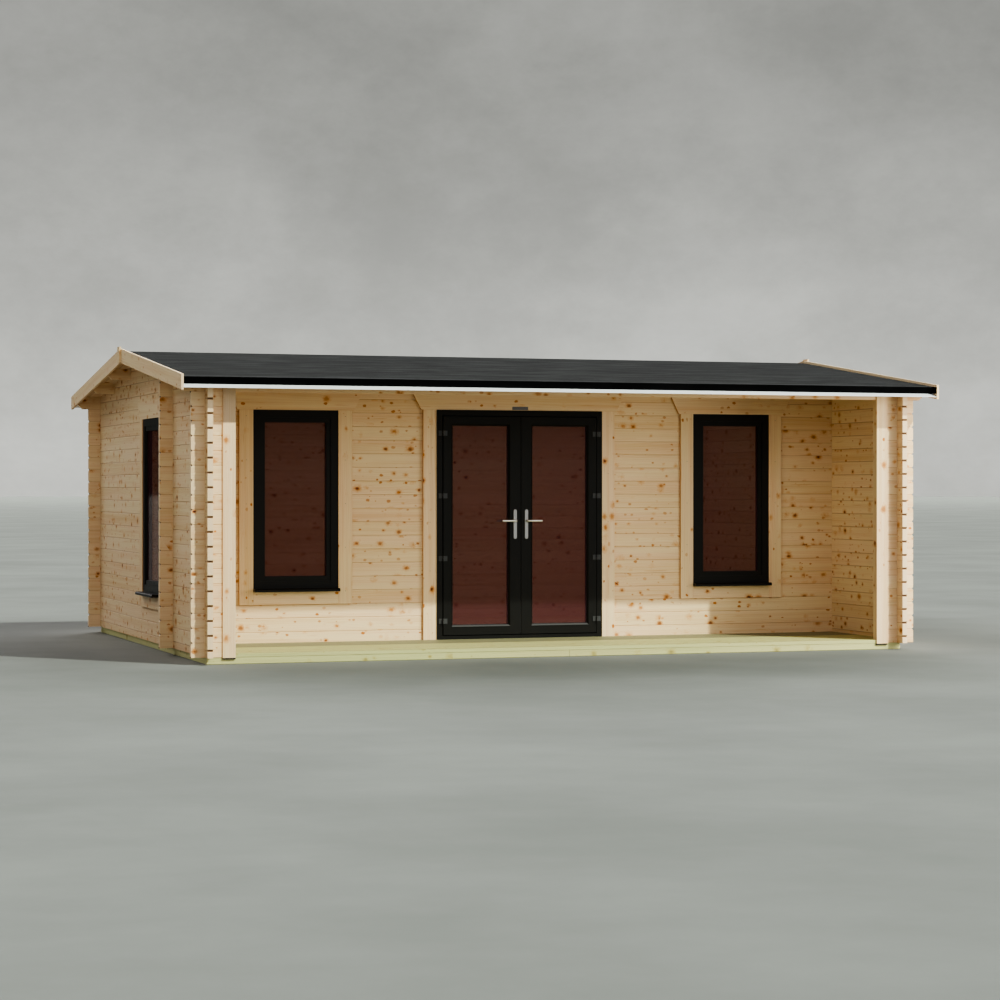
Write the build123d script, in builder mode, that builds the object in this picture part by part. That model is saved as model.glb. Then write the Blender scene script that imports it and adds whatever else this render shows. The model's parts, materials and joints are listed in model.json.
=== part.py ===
"""Log cabin with a recessed front wall and a veranda under a low gable roof.

Units are millimetres.  X runs along the width, +Y to the back and +Z up.  The origin lies on the
ground, midway between the gables and under the ridge.

The walls are stacks of tongued logs that cross at the corners.  The side walls start with half a
log, so at each crossing the two walls take turns, half a log's height each.
"""
import os
from math import ceil, cos, radians, tan

from build123d import *

os.makedirs("parts", exist_ok=True)

# ---- Driving dimensions -------------------------------------------------------------------
cabin_width = 6000  # over the side walls' outer faces
cabin_depth = 4694  # from the stub walls' front faces to the rear wall's outer face
veranda_depth = 1234  # from the stub walls' front faces to the recessed front wall's

log_height = 114
log_thickness = 44
seam_half_height = 4  # V joint between two logs, along both faces
seam_depth = 3
end_notch = 12  # each log's end is chamfered, so two logs leave a V between their ends
side_log_end = 108  # how far the cross walls' logs run past the side walls
front_log_end = 100  # how far the side walls' logs run past the front and rear walls

bearer_height = 55
bearer_width = 70
bearer_inset = 15  # behind the walls' faces at the sides and the back
bearer_setback = 3  # behind the deck's front edge
bearer_arris = 4  # cut along the foot of the outer timbers
bearer_joint_gap = 2  # the front bearer is in two lengths
joist_width = 45
joist_count = 9
floor_thickness = 27
deck_board_count = 9
deck_board_gap = 5

roof_pitch = 7.2
ridge_height = 2534  # top of the felt at the ridge
barge_half_length = 2574  # ridge to the barge boards' ends, on the level
eave_recess = 38  # how far the roof's edge stays behind the barge boards' ends
gable_overhang = 230  # side wall to the barge boards' outer faces
roof_board_thickness = 19
felt_thickness = 3
felt_lip_height = 9
eave_band_bottom = 2158
eave_band_lean = 27  # how far the band under the lip slopes back
drip_bottom = 2128
drip_thickness = 2
batten_width = 20
barge_height = 120
barge_thickness = 19
barge_bottom_at_ridge = 2436
joint_cover_size = (100, 16)  # board over the barge boards' joint at each gable
joint_cover_top = 2570
purlin_width = 44
purlin_depth = 90
purlin_spacing = 775
beam_bottom = 2107
end_cut = 45  # 45 degree cut under each purlin's and beam's end

post_width = 100
post_depth = 68
post_groove = 52
post_outer_edge = 140  # from the side wall's outer face to the post
post_foot = 50

door_width = 1492  # over the door frame
door_top = 2024
door_frame_face = 48
door_frame_depth = 70
door_frame_proud = 28
door_stop_width = 16
door_stop_thickness = 12
threshold_height = 30
leaf_gap = 6  # between a leaf and the frame, all round
meeting_gap = 10  # between the two meeting stiles
leaf_thickness = 60
leaf_proud = 6  # leaf's outer face in front of the frame's
stile_width = 84
meeting_stile_width = 103
top_rail = 76
bottom_rail = 84
bead_slope = 12
glass_thickness = 24
glazing_rebate = 10

hinge_heights = (237, 767, 1297, 1827)
hinge_length = 43
hinge_axis_proud = 13  # hinge axis in front of the leaf's outer face
hinge_flag_width = 34
hinge_flag_thickness = 5
knuckle_radius = 7
knuckle_gap = 1
handle_height = 1084
handle_from_edge = 46
handle_plate_size = (34, 254)
handle_plate_centre = 1055
handle_plate_thickness = 8
neck_radius = 8
neck_length = 45
lever_length = 125
lever_size = (12, 20)
neck_clearance = 1
plate_corner = 10
lever_corner = 6
spindle_radius = 5.6  # square spindle, corner to corner
spindle_clearance = 1.4

window_width = 725
window_height = 1480
window_rim = 62  # outer frame, then the sash steps back
window_sash = 38
window_sash_step = 8
window_frame_depth = 60
window_frame_proud = 12
front_window_offset = 1968  # window centre from the middle of the front
front_window_bottom = 530
side_window_bottom = front_window_bottom - log_height / 2
side_window_centre = -265
sill_thickness = 25
sill_proud = 82
casing_width = 120
casing_thickness = 20
lower_casing_height = 107
header_splay = 95
front_header_top = 2160

# ---- Worked out from them -----------------------------------------------------------------
slope = tan(radians(roof_pitch))
half_width = cabin_width / 2
room_half = half_width - log_thickness
front_face = -cabin_depth / 2
rear_face = cabin_depth / 2
rear_inner = rear_face - log_thickness
inner_front = front_face + veranda_depth
inner_back = inner_front + log_thickness
floor_level = bearer_height + floor_thickness
wall_end = half_width + side_log_end
side_wall_end = rear_face + front_log_end
cross_walls = (front_face, inner_front, rear_inner)  # front faces of the walls along X
cross_seam = bearer_height + log_height
side_seam = bearer_height + log_height / 2
barge_inner = half_width + gable_overhang - barge_thickness
roof_edge = barge_half_length - eave_recess
board_vertical = roof_board_thickness / cos(radians(roof_pitch))
felt_vertical = felt_thickness / cos(radians(roof_pitch))
purlin_lines = [purlin_spacing * i for i in (-2, -1, 0, 1, 2)]
door_half = door_width / 2
leaf_outer = inner_front - door_frame_proud - leaf_proud
leaf_inner = leaf_outer + leaf_thickness
hinge_x = door_half - door_frame_face - leaf_gap / 2
hinge_y = leaf_outer - hinge_axis_proud
post_inner = half_width - post_outer_edge - post_width
stub_end = half_width - post_outer_edge - post_groove


def roof_top(y):
    """Height of the felt's top face."""
    return ridge_height - slope * abs(y)


def roof_under(y):
    """Height of the roof boards' underside."""
    return roof_top(y) - felt_vertical - board_vertical


def save(builder, name):
    """Label a finished piece and write it as one file."""
    builder.part.label = name
    export_step(builder.part, f"parts/{name}.step")


def block(x, y, z, mode=Mode.ADD):
    """A box between two limits on each axis, in the part in progress."""
    x, y, z = sorted(x), sorted(y), sorted(z)
    with Locations(((x[0] + x[1]) / 2, (y[0] + y[1]) / 2, (z[0] + z[1]) / 2)):
        Box(x[1] - x[0], y[1] - y[0], z[1] - z[0], mode=mode)


def window(across, up, mode=Mode.SUBTRACT):
    """A rectangle between two limits on each axis, in the sketch in progress."""
    across, up = sorted(across), sorted(up)
    with Locations(((across[0] + across[1]) / 2, (up[0] + up[1]) / 2)):
        Rectangle(across[1] - across[0], up[1] - up[0], mode=mode)


def prism(plane, points, amount):
    """A polygon on a plane, pushed out of it."""
    with BuildPart() as piece:
        with BuildSketch(plane):
            with BuildLine():
                Polyline(*points, close=True)
            make_face()
        extrude(amount=amount)
    return piece.part


# ---- Base ---------------------------------------------------------------------------------
bearer_front = front_face + bearer_setback
bearer_rear = rear_face - bearer_inset
bearer_half = half_width - bearer_inset
inner_bearer = inner_front + (log_thickness - bearer_width) / 2

with BuildPart() as cross_bearers:
    for side in (-1, 1):
        block((side * bearer_joint_gap / 2, side * bearer_half), (bearer_front, bearer_front + bearer_width),
              (0, bearer_height))
    for start in (inner_bearer, bearer_rear - bearer_width):
        block((-bearer_half, bearer_half), (start, start + bearer_width), (0, bearer_height))
    feet = cross_bearers.edges().filter_by(Axis.X).group_by(Axis.Z)[0].group_by(Axis.Y)
    chamfer(feet[0] + feet[-1], bearer_arris)
save(cross_bearers, "cross_bearers")

with BuildPart() as floor_joists:
    joist_pitch = (2 * bearer_half - bearer_width) / (joist_count - 1)
    veranda_bay = (bearer_front + bearer_width, inner_bearer)
    room_bay = (inner_bearer + bearer_width, bearer_rear - bearer_width)
    for bay in (veranda_bay, room_bay):
        for i in range(joist_count):
            centre = -bearer_half + bearer_width / 2 + joist_pitch * i
            half = (bearer_width if i in (0, joist_count - 1) else joist_width) / 2
            block((centre - half, centre + half), bay, (0, bearer_height))
    feet = floor_joists.edges().filter_by(Axis.Y).group_by(Axis.Z)[0].group_by(Axis.X)
    chamfer(feet[0] + feet[-1], bearer_arris)
save(floor_joists, "floor_joists")

with BuildPart() as veranda_deck:
    board_pitch = (veranda_depth + deck_board_gap) / deck_board_count
    for i in range(deck_board_count):
        start = front_face + board_pitch * i
        board = (start, start + board_pitch - deck_board_gap)
        block((-room_half, room_half), board, (bearer_height, floor_level))
    for side in (-1, 1):
        block((side * post_inner, side * room_half), (front_face, front_face + log_thickness),
              (bearer_height, floor_level), Mode.SUBTRACT)
        block((side * post_inner, side * (post_inner + post_width)),
              (front_face, front_face + (post_depth + log_thickness) / 2), (bearer_height, floor_level),
              Mode.SUBTRACT)
save(veranda_deck, "veranda_deck")

with BuildPart() as interior_floor:
    block((-room_half, room_half), (inner_back, rear_inner), (bearer_height, floor_level))
    block((-door_half, door_half), (inner_front, inner_back), (bearer_height, floor_level))
save(interior_floor, "interior_floor")


# ---- Roof timbers, from gable to gable ----------------------------------------------------
def timber_section(near, far, bottom):
    """Corners of a timber's section, with its top shaped to the roof."""
    top = [(far, roof_under(far)), (near, roof_under(near))]
    if near < 0 < far:
        top.insert(1, (0, roof_under(0)))
    return [(near, bottom), (far, bottom)] + top


def purlin_section(y):
    """Section of the purlin centred on y."""
    return timber_section(y - purlin_width / 2, y + purlin_width / 2, roof_under(y) - purlin_depth)


beam_sections = {
    "front_beam": timber_section(front_face, front_face + log_thickness, beam_bottom),
    "rear_beam": timber_section(rear_inner, rear_face, beam_bottom),
}


def long_timber(section):
    """A timber along X with both lower ends cut at 45 degrees."""
    bottom = section[0][1]
    with BuildPart() as timber:
        add(prism(Plane.YZ.offset(-barge_inner), section, 2 * barge_inner))
        lower_ends = timber.edges().filter_by(Axis.Y).group_by(Axis.Z)[0]
        chamfer(lower_ends, end_cut)
    return timber.part


with BuildPart() as purlins:
    for y in purlin_lines:
        add(long_timber(purlin_section(y)))
save(purlins, "purlins")

for name, section in beam_sections.items():
    with BuildPart() as beam:
        add(long_timber(section))
    save(beam, name)


# ---- Log walls ----------------------------------------------------------------------------
def seams(first, top):
    """Heights of the joints between logs below a given top."""
    return [first + log_height * i for i in range(max(0, ceil((top - first) / log_height)))]


def notched_end(end, first, bottom, top, outward):
    """Points up a wall's end, with a V at each seam where the logs' ends are chamfered."""
    points = [(end, bottom)]
    for seam in seams(first, top - end_notch):
        points += [(end, seam - end_notch), (end - outward * end_notch, seam), (end, seam + end_notch)]
    return points + [(end, top)]


def log_section(outer, inner, first, top):
    """Section of a stack of logs: V joints on the outer face, flush joints on the inner one."""
    into = seam_depth if inner > outer else -seam_depth
    points = [(outer, bearer_height)]
    for seam in seams(first, top - seam_half_height):
        points += [(outer, seam - seam_half_height), (outer + into, seam), (outer, seam + seam_half_height)]
    return points + [(outer, top), (inner, top), (inner, bearer_height)]


def side_logs_at(x, line):
    """Centres of a side wall's logs where they pass through a cross wall, on its elevation."""
    count = ceil((roof_under(line) - bearer_height) / log_height) + 1
    return [(x, bearer_height + log_height * i) for i in range(count)]


def cross_logs_at(line):
    """Centres of a cross wall's logs where they pass through a side wall, on its elevation."""
    top = roof_under(line) if line == inner_front else beam_bottom
    count = ceil((top - bearer_height - log_height / 4) / log_height)
    return [(line + log_thickness / 2, bearer_height + log_height * (i + 0.5)) for i in range(count)]


for side, name in ((-1, "left_side_wall"), (1, "right_side_wall")):
    outer, inner = side * half_width, side * room_half
    gable_foot = roof_under(side_wall_end)
    with BuildPart() as side_wall:
        # elevation: both notched ends, the gable, the window, and every timber that passes through
        with BuildSketch(Plane.YZ.offset(min(outer, inner))):
            with BuildLine():
                front_end = notched_end(-side_wall_end, side_seam, bearer_height, gable_foot, -1)
                rear_end = notched_end(side_wall_end, side_seam, bearer_height, gable_foot, 1)
                Polyline(*front_end, (0, roof_under(0)), *reversed(rear_end), close=True)
            make_face()
            window((side_window_centre - window_width / 2, side_window_centre + window_width / 2),
                   (side_window_bottom - sill_thickness, side_window_bottom + window_height))
            with Locations(*[place for line in cross_walls for place in cross_logs_at(line)]):
                Rectangle(log_thickness, log_height / 2, mode=Mode.SUBTRACT)
            for section in [purlin_section(y) for y in purlin_lines] + list(beam_sections.values()):
                with BuildLine():
                    Polyline(*section, close=True)
                make_face(mode=Mode.SUBTRACT)
        extrude(amount=log_thickness)
        # V joints along the outer face
        with BuildSketch(Plane.XZ.offset(-side_wall_end)):
            with BuildLine():
                Polyline(*log_section(outer, inner, side_seam, ridge_height), close=True)
            make_face()
        extrude(amount=2 * side_wall_end, mode=Mode.INTERSECT)
        # V joints on the inner face beside the veranda
        with BuildSketch(Plane.XZ.offset(-inner_front)):
            for seam in seams(side_seam, roof_under(inner_front)):
                with BuildLine():
                    Polyline((inner, seam - seam_half_height), (inner + side * seam_depth, seam),
                             (inner, seam + seam_half_height), close=True)
                make_face()
        extrude(amount=inner_front - front_face - log_thickness, mode=Mode.SUBTRACT)
    save(side_wall, name)


def cross_wall(near, left, right, top, openings=(), slots=()):
    """A wall along X: its elevation, then the V joints along its outer face."""
    outward = near if near < 0 else near + log_thickness
    inward = near + log_thickness if near < 0 else near
    with BuildPart() as wall:
        with BuildSketch(Plane.XZ.offset(-near - log_thickness)):
            with BuildLine():
                left_end = [(left, bearer_height), (left, top)]
                right_end = [(right, bearer_height), (right, top)]
                if left == -wall_end:
                    left_end = notched_end(left, cross_seam, bearer_height, top, -1)
                if right == wall_end:
                    right_end = notched_end(right, cross_seam, bearer_height, top, 1)
                Polyline(*left_end, *reversed(right_end), close=True)
            make_face()
            for across, up in openings:
                window(across, up)
            if slots:
                with Locations(*slots):
                    Rectangle(log_thickness, log_height / 2, mode=Mode.SUBTRACT)
        extrude(amount=log_thickness)
        with BuildSketch(Plane.YZ.offset(left)):
            with BuildLine():
                Polyline(*log_section(outward, inward, cross_seam, top), close=True)
            make_face()
        extrude(amount=right - left, mode=Mode.INTERSECT)
    return wall.part


crossing = half_width - log_thickness / 2
rear_slots = [place for side in (-1, 1) for place in side_logs_at(side * crossing, rear_inner)]
with BuildPart() as rear_wall:
    add(cross_wall(rear_inner, -wall_end, wall_end, beam_bottom, slots=rear_slots))
save(rear_wall, "rear_wall")

# the recessed wall goes up to the roof boards, so its top is bevelled to their slope
wall_top = roof_under(inner_back)
bevel = prism(Plane.YZ.offset(-wall_end), [(inner_front, roof_under(inner_front)), (inner_back, wall_top),
                                          (inner_front, wall_top)], 2 * wall_end)
for side, name in ((-1, "front_wall_left"), (1, "front_wall_right")):
    centre = side * front_window_offset
    opening = ((centre - window_width / 2, centre + window_width / 2),
               (front_window_bottom - sill_thickness, front_window_bottom + window_height))
    left, right = sorted((side * wall_end, side * door_half))
    with BuildPart() as front_wall:
        slots = side_logs_at(side * crossing, inner_front)
        add(cross_wall(inner_front, left, right, wall_top, [opening], slots))
        add(bevel, mode=Mode.SUBTRACT)
    save(front_wall, name)

with BuildPart() as front_wall_over_door:
    doorway = ((-door_half, door_half), (bearer_height, door_top))
    add(cross_wall(inner_front, -door_half, door_half, wall_top, [doorway]))
    add(bevel, mode=Mode.SUBTRACT)
save(front_wall_over_door, "front_wall_over_door")

post_front = front_face - (post_depth - log_thickness) / 2
for side, name in ((-1, "left"), (1, "right")):
    left, right = sorted((side * wall_end, side * stub_end))
    with BuildPart() as stub_wall:
        add(cross_wall(front_face, left, right, beam_bottom, slots=side_logs_at(side * crossing, front_face)))
    save(stub_wall, f"{name}_stub_wall")

    # a post with a groove that takes the stub wall's end and, above, the front beam
    with BuildPart() as end_post:
        block((side * post_inner, side * (post_inner + post_width)), (post_front, post_front + post_depth),
              (bearer_height, roof_under(post_front)))
        block((side * post_inner, side * (post_inner + post_width)), (post_front, front_face),
              (post_foot, bearer_height))
        block((side * stub_end, side * (post_inner + post_width)), (front_face, front_face + log_thickness),
              (bearer_height, ridge_height), Mode.SUBTRACT)
        block((side * post_inner, side * (post_inner + post_width)), (front_face, front_face + log_thickness),
              (beam_bottom, ridge_height), Mode.SUBTRACT)
    save(end_post, f"{name}_end_post")

# ---- Roof covering ------------------------------------------------------------------------
# the eave, outside to inside: the felt's upright lip, then a band that leans back over a batten
board_edge = roof_edge - felt_thickness
lip_bottom = roof_top(roof_edge) - felt_lip_height
band_foot = roof_edge - eave_band_lean
batten_front = band_foot - felt_thickness
batten_back = batten_front - batten_width
lean_per_height = eave_band_lean / (lip_bottom - eave_band_bottom)
board_foot = board_edge - lean_per_height * (lip_bottom - roof_under(board_edge))


def on_side(side, points):
    """Section points given for the rear slope, on either slope."""
    return [(side * y, z) for y, z in points]


for side, name in ((-1, "roof_boards_front"), (1, "roof_boards_rear")):
    section = [(0, roof_under(0)), (0, roof_under(0) + board_vertical),
               (board_edge, roof_under(board_edge) + board_vertical), (board_edge, lip_bottom),
               (board_foot, roof_under(board_foot))]
    with BuildPart() as roof_boards:
        add(prism(Plane.YZ.offset(-barge_inner), on_side(side, section), 2 * barge_inner))
    save(roof_boards, name)

with BuildPart() as eave_battens:
    section = [(batten_front, eave_band_bottom), (batten_back, eave_band_bottom),
               (batten_back, roof_under(batten_back)), (board_foot, roof_under(board_foot))]
    for side in (-1, 1):
        add(prism(Plane.YZ.offset(-barge_inner), on_side(side, section), 2 * barge_inner))
save(eave_battens, "eave_battens")

with BuildPart() as roof_felt:
    edge = [(roof_edge, roof_top(roof_edge)), (roof_edge, lip_bottom), (band_foot, eave_band_bottom),
            (batten_front, eave_band_bottom), (board_foot, roof_under(board_foot)), (board_edge, lip_bottom),
            (board_edge, roof_under(board_edge) + board_vertical)]
    outline = [(0, roof_top(0)), *edge, (0, roof_top(0) - felt_vertical), *reversed(on_side(-1, edge))]
    add(prism(Plane.YZ.offset(-barge_inner), outline, 2 * barge_inner))
save(roof_felt, "roof_felt")

with BuildPart() as eave_drips:
    under = eave_band_bottom - drip_thickness
    section = [(batten_back, eave_band_bottom), (band_foot, eave_band_bottom),
               (barge_half_length, drip_bottom + drip_thickness), (barge_half_length, drip_bottom),
               (band_foot - 1, under), (batten_back, under)]
    for side in (-1, 1):
        add(prism(Plane.YZ.offset(-barge_inner), on_side(side, section), 2 * barge_inner))
save(eave_drips, "eave_drips")

drop = slope * barge_half_length
for end, name in ((-1, "front_barge_boards"), (1, "rear_barge_boards")):
    tip = end * barge_half_length
    outline = [(0, barge_bottom_at_ridge), (0, barge_bottom_at_ridge + barge_height),
               (tip, barge_bottom_at_ridge + barge_height - drop), (tip, barge_bottom_at_ridge - drop)]
    with BuildPart() as barge_boards:
        for start in (-barge_inner - barge_thickness, barge_inner):
            add(prism(Plane.YZ.offset(start), outline, barge_thickness))
    save(barge_boards, name)

cover_width, cover_thickness = joint_cover_size
with BuildPart() as gable_joint_covers:
    for side in (-1, 1):
        face = side * (half_width + gable_overhang)
        block((face, face + side * cover_thickness), (-cover_width / 2, cover_width / 2),
              (barge_bottom_at_ridge, joint_cover_top))
save(gable_joint_covers, "gable_joint_covers")

# ---- Door frame ---------------------------------------------------------------------------
frame_front = inner_front - door_frame_proud
frame_back = frame_front + door_frame_depth
stop_front = frame_back - door_stop_thickness
frame_inside = door_half - door_frame_face
stop_inside = frame_inside - door_stop_width
threshold_top = floor_level + threshold_height
frame_head = door_top - door_frame_face

for side, name in ((-1, "left"), (1, "right")):
    section = [(side * x, y) for x, y in (
        (door_half, frame_front), (frame_inside, frame_front), (frame_inside, stop_front),
        (stop_inside, stop_front), (stop_inside, frame_back), (door_half, frame_back))]
    with BuildPart() as jamb:
        add(prism(Plane.XY.offset(threshold_top), section, frame_head - threshold_top))
    save(jamb, f"door_{name}_jamb")

with BuildPart() as door_head:
    block((-door_half, door_half), (frame_front, frame_back), (frame_head, door_top))
    block((-stop_inside, stop_inside), (stop_front, frame_back), (frame_head - door_stop_width, frame_head))
save(door_head, "door_head")

with BuildPart() as door_threshold:
    block((-door_half, door_half), (frame_front, frame_back), (floor_level, threshold_top))
    block((-stop_inside, stop_inside), (stop_front, frame_back),
          (threshold_top, threshold_top + door_stop_width))
save(door_threshold, "door_threshold")

# ---- Door leaves --------------------------------------------------------------------------
leaf_bottom = threshold_top + leaf_gap
leaf_top = frame_head - leaf_gap
leaf_hinge_edge = frame_inside - leaf_gap
leaf_meeting_edge = meeting_gap / 2
glass_front = leaf_outer + (leaf_thickness - glass_thickness) / 2
pane_across = (leaf_meeting_edge + meeting_stile_width, leaf_hinge_edge - stile_width)
pane_up = (leaf_bottom + bottom_rail, leaf_top - top_rail)
handle_x = leaf_meeting_edge + handle_from_edge


def grown(limits, margin):
    """Two limits moved apart by a margin each."""
    return limits[0] - margin, limits[1] + margin


def mirrored(side, limits):
    """Limits measured from the middle of the doorway, on one side of it."""
    return [side * value for value in limits]


glass_across = grown(pane_across, glazing_rebate)
glass_through = (glass_front, glass_front + glass_thickness)
glass_up = grown(pane_up, glazing_rebate)


def bar_along_y(centre_x, y, radius, sides, mode=Mode.ADD):
    """A many-sided bar along Y at the handle's height, in the part in progress."""
    with BuildSketch(Plane.XZ.offset(-max(y))) as outline:
        with Locations((centre_x, handle_height)):
            RegularPolygon(radius, sides, rotation=180 / sides)
    extrude(to_extrude=outline.sketch, amount=max(y) - min(y), mode=mode)


def knuckles(side, low, high):
    """An eight-sided hinge barrel around the axis, in the part in progress."""
    with BuildSketch(Plane.XY.offset(low)) as barrel:
        with Locations((side * hinge_x, hinge_y)):
            RegularPolygon(knuckle_radius, 8)
    extrude(to_extrude=barrel.sketch, amount=high - low)


for side, name in ((-1, "left"), (1, "right")):
    with BuildPart() as leaf_frame:
        block(mirrored(side, (leaf_meeting_edge, leaf_hinge_edge)), (leaf_outer, leaf_inner),
              (leaf_bottom, leaf_top))
        block(mirrored(side, pane_across), (leaf_outer, leaf_inner), pane_up, Mode.SUBTRACT)
        outer_rim = leaf_frame.faces().sort_by(Axis.Y)[0].inner_wires().edges()
        chamfer(outer_rim, bead_slope)
        block(mirrored(side, glass_across), glass_through, glass_up, Mode.SUBTRACT)
        bar_along_y(side * handle_x, (leaf_outer, leaf_inner), spindle_radius + spindle_clearance, 8,
                    Mode.SUBTRACT)
    save(leaf_frame, f"{name}_leaf_frame")

    with BuildPart() as leaf_glass:
        block(mirrored(side, glass_across), glass_through, glass_up)
    save(leaf_glass, f"{name}_leaf_glass")

    with BuildPart() as leaf_hinges:
        for height in hinge_heights:
            low, high = height - hinge_length / 2, height + hinge_length / 2
            split = height - knuckle_gap
            knuckles(side, low, split)
            block((side * hinge_x, side * (hinge_x - knuckle_radius)), (hinge_y, leaf_outer), (low, split))
            block((side * (leaf_hinge_edge - hinge_flag_width), side * leaf_hinge_edge),
                  (leaf_outer - hinge_flag_thickness, leaf_outer), (low, high))
    save(leaf_hinges, f"{name}_leaf_hinges")

    with BuildPart() as handle_plates:
        for face, outward in ((leaf_outer, -1), (leaf_inner, 1)):
            plate = (face, face + outward * handle_plate_thickness)
            with BuildSketch(Plane.XZ.offset(-max(plate))) as outline:
                with Locations((side * handle_x, handle_plate_centre)):
                    Rectangle(*handle_plate_size)
                chamfer(outline.vertices(), plate_corner)
            extrude(to_extrude=outline.sketch, amount=handle_plate_thickness)
            bar_along_y(side * handle_x, plate, neck_radius + neck_clearance, 12, Mode.SUBTRACT)
    save(handle_plates, f"{name}_handle_plates")

    with BuildPart() as lever:
        bar_along_y(side * handle_x, (leaf_outer - neck_length, leaf_inner + neck_length), spindle_radius, 4)
        for face, outward in ((leaf_outer, -1), (leaf_inner, 1)):
            neck = (face + outward * neck_clearance, face + outward * neck_length)
            grip = (neck[1], neck[1] + outward * lever_size[0])
            bar_along_y(side * handle_x, neck, neck_radius, 12)
            with BuildSketch(Plane.XZ.offset(-max(grip))) as outline:
                with Locations((side * (handle_x + (lever_length - neck_radius) / 2), handle_height)):
                    Rectangle(lever_length + neck_radius, lever_size[1])
                chamfer(outline.vertices(), lever_corner)
            extrude(to_extrude=outline.sketch, amount=lever_size[0])
    save(lever, f"{name}_lever")

with BuildPart() as frame_hinges:
    for side in (-1, 1):
        for height in hinge_heights:
            low, high = height - hinge_length / 2, height + hinge_length / 2
            split = height + knuckle_gap
            knuckles(side, split, high)
            block((side * hinge_x, side * (hinge_x + knuckle_radius)), (hinge_y, frame_front), (split, high))
            block((side * frame_inside, side * (frame_inside + hinge_flag_width)),
                  (frame_front - hinge_flag_thickness, frame_front), (low, high))
save(frame_hinges, "frame_hinges")

# ---- Windows ------------------------------------------------------------------------------
window_half = window_width / 2
window_border = window_rim + window_sash
pane_front = (window_frame_depth - glass_thickness) / 2 - window_frame_proud


def window_frame(bottom):
    """A window's frame, sash and sill, centred on x = 0 with the wall's face at y = 0."""
    front, back = -window_frame_proud, window_frame_depth - window_frame_proud
    top = bottom + window_height
    half_pane = (-window_half + window_border, window_half - window_border)
    pane_height = (bottom + window_border, top - window_border)
    with BuildPart() as frame:
        block((-window_half, window_half), (front, back), (bottom, top))
        block(grown(half_pane, window_sash), (front, front + window_sash_step),
              grown(pane_height, window_sash), Mode.SUBTRACT)
        block(half_pane, (front, back), pane_height, Mode.SUBTRACT)
        block(grown(half_pane, glazing_rebate), (pane_front, pane_front + glass_thickness),
              grown(pane_height, glazing_rebate), Mode.SUBTRACT)
        block((-window_half, window_half), (-sill_proud, log_thickness), (bottom - sill_thickness, bottom))
        sill_nose = frame.edges().filter_by(Axis.X).sort_by(Axis.Y)[:2].sort_by(Axis.Z)[-1]
        chamfer(sill_nose, sill_thickness / 3)
    return frame.part


def window_pane(bottom):
    """The pane that fills the groove in the sash."""
    with BuildPart() as pane:
        block(grown((-window_half + window_border, window_half - window_border), glazing_rebate),
              (pane_front, pane_front + glass_thickness),
              grown((bottom + window_border, bottom + window_height - window_border), glazing_rebate))
    return pane.part


window_places = {
    "left_front_window": (Plane(origin=(-front_window_offset, inner_front, 0)), front_window_bottom),
    "right_front_window": (Plane(origin=(front_window_offset, inner_front, 0)), front_window_bottom),
    "left_side_window": (Plane(origin=(-half_width, side_window_centre, 0), x_dir=(0, -1, 0)),
                         side_window_bottom),
    "right_side_window": (Plane(origin=(half_width, side_window_centre, 0), x_dir=(0, 1, 0)),
                          side_window_bottom),
}
for name, (place, bottom) in window_places.items():
    with BuildPart() as placed_window:
        add(place.location * window_frame(bottom))
    save(placed_window, name)

with BuildPart() as window_glass:
    for place, bottom in window_places.values():
        add(place.location * window_pane(bottom))
save(window_glass, "window_glass")


# ---- Casings ------------------------------------------------------------------------------
def casing(width, bottom, top, header_height, has_lower_board):
    """Boards round an opening, on a wall face at y = 0: two uprights, a splayed header, one below."""
    half = width / 2
    outer = half + casing_width
    with BuildPart() as boards:
        for side in (-1, 1):
            block((side * half, side * outer), (-casing_thickness, 0), (bottom, top))
        if has_lower_board:
            block((-half, half), (-casing_thickness, 0), (bottom, bottom + lower_casing_height))
        header = [(-outer, top), (outer, top), (outer + header_splay, top + header_height),
                  (-outer - header_splay, top + header_height)]
        add(prism(Plane.XZ, header, casing_thickness))
    return boards.part


front_window_top = front_window_bottom + window_height
side_window_top = side_window_bottom + window_height
lower_board = sill_thickness + lower_casing_height
with BuildPart() as front_casings:
    add(Location((0, inner_front, 0))
        * casing(door_width, floor_level, door_top, front_header_top - door_top, False))
    for side in (-1, 1):
        add(Location((side * front_window_offset, inner_front, 0))
            * casing(window_width, front_window_bottom - lower_board, front_window_top,
                     front_header_top - front_window_top, True))
save(front_casings, "front_casings")

with BuildPart() as side_casings:
    for name in ("left_side_window", "right_side_window"):
        add(window_places[name][0].location
            * casing(window_width, side_window_bottom - lower_board, side_window_top,
                     front_header_top - front_window_top, True))
save(side_casings, "side_casings")
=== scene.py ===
"""Finishes and small pieces for the log cabin, around its fixed frame.

Units are metres, X along the width, +Y to the back and +Z up.  The walls, timbers, roof, joinery and
fittings come with the frame.  Here they get their finishes, and the casing boards, handles, seals,
weather bars whose grey is partly a painted highlight, post pads dark as painted shade under the posts,
felt upstands, screws and the plate over the door are added.
"""
import json
import math

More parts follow.
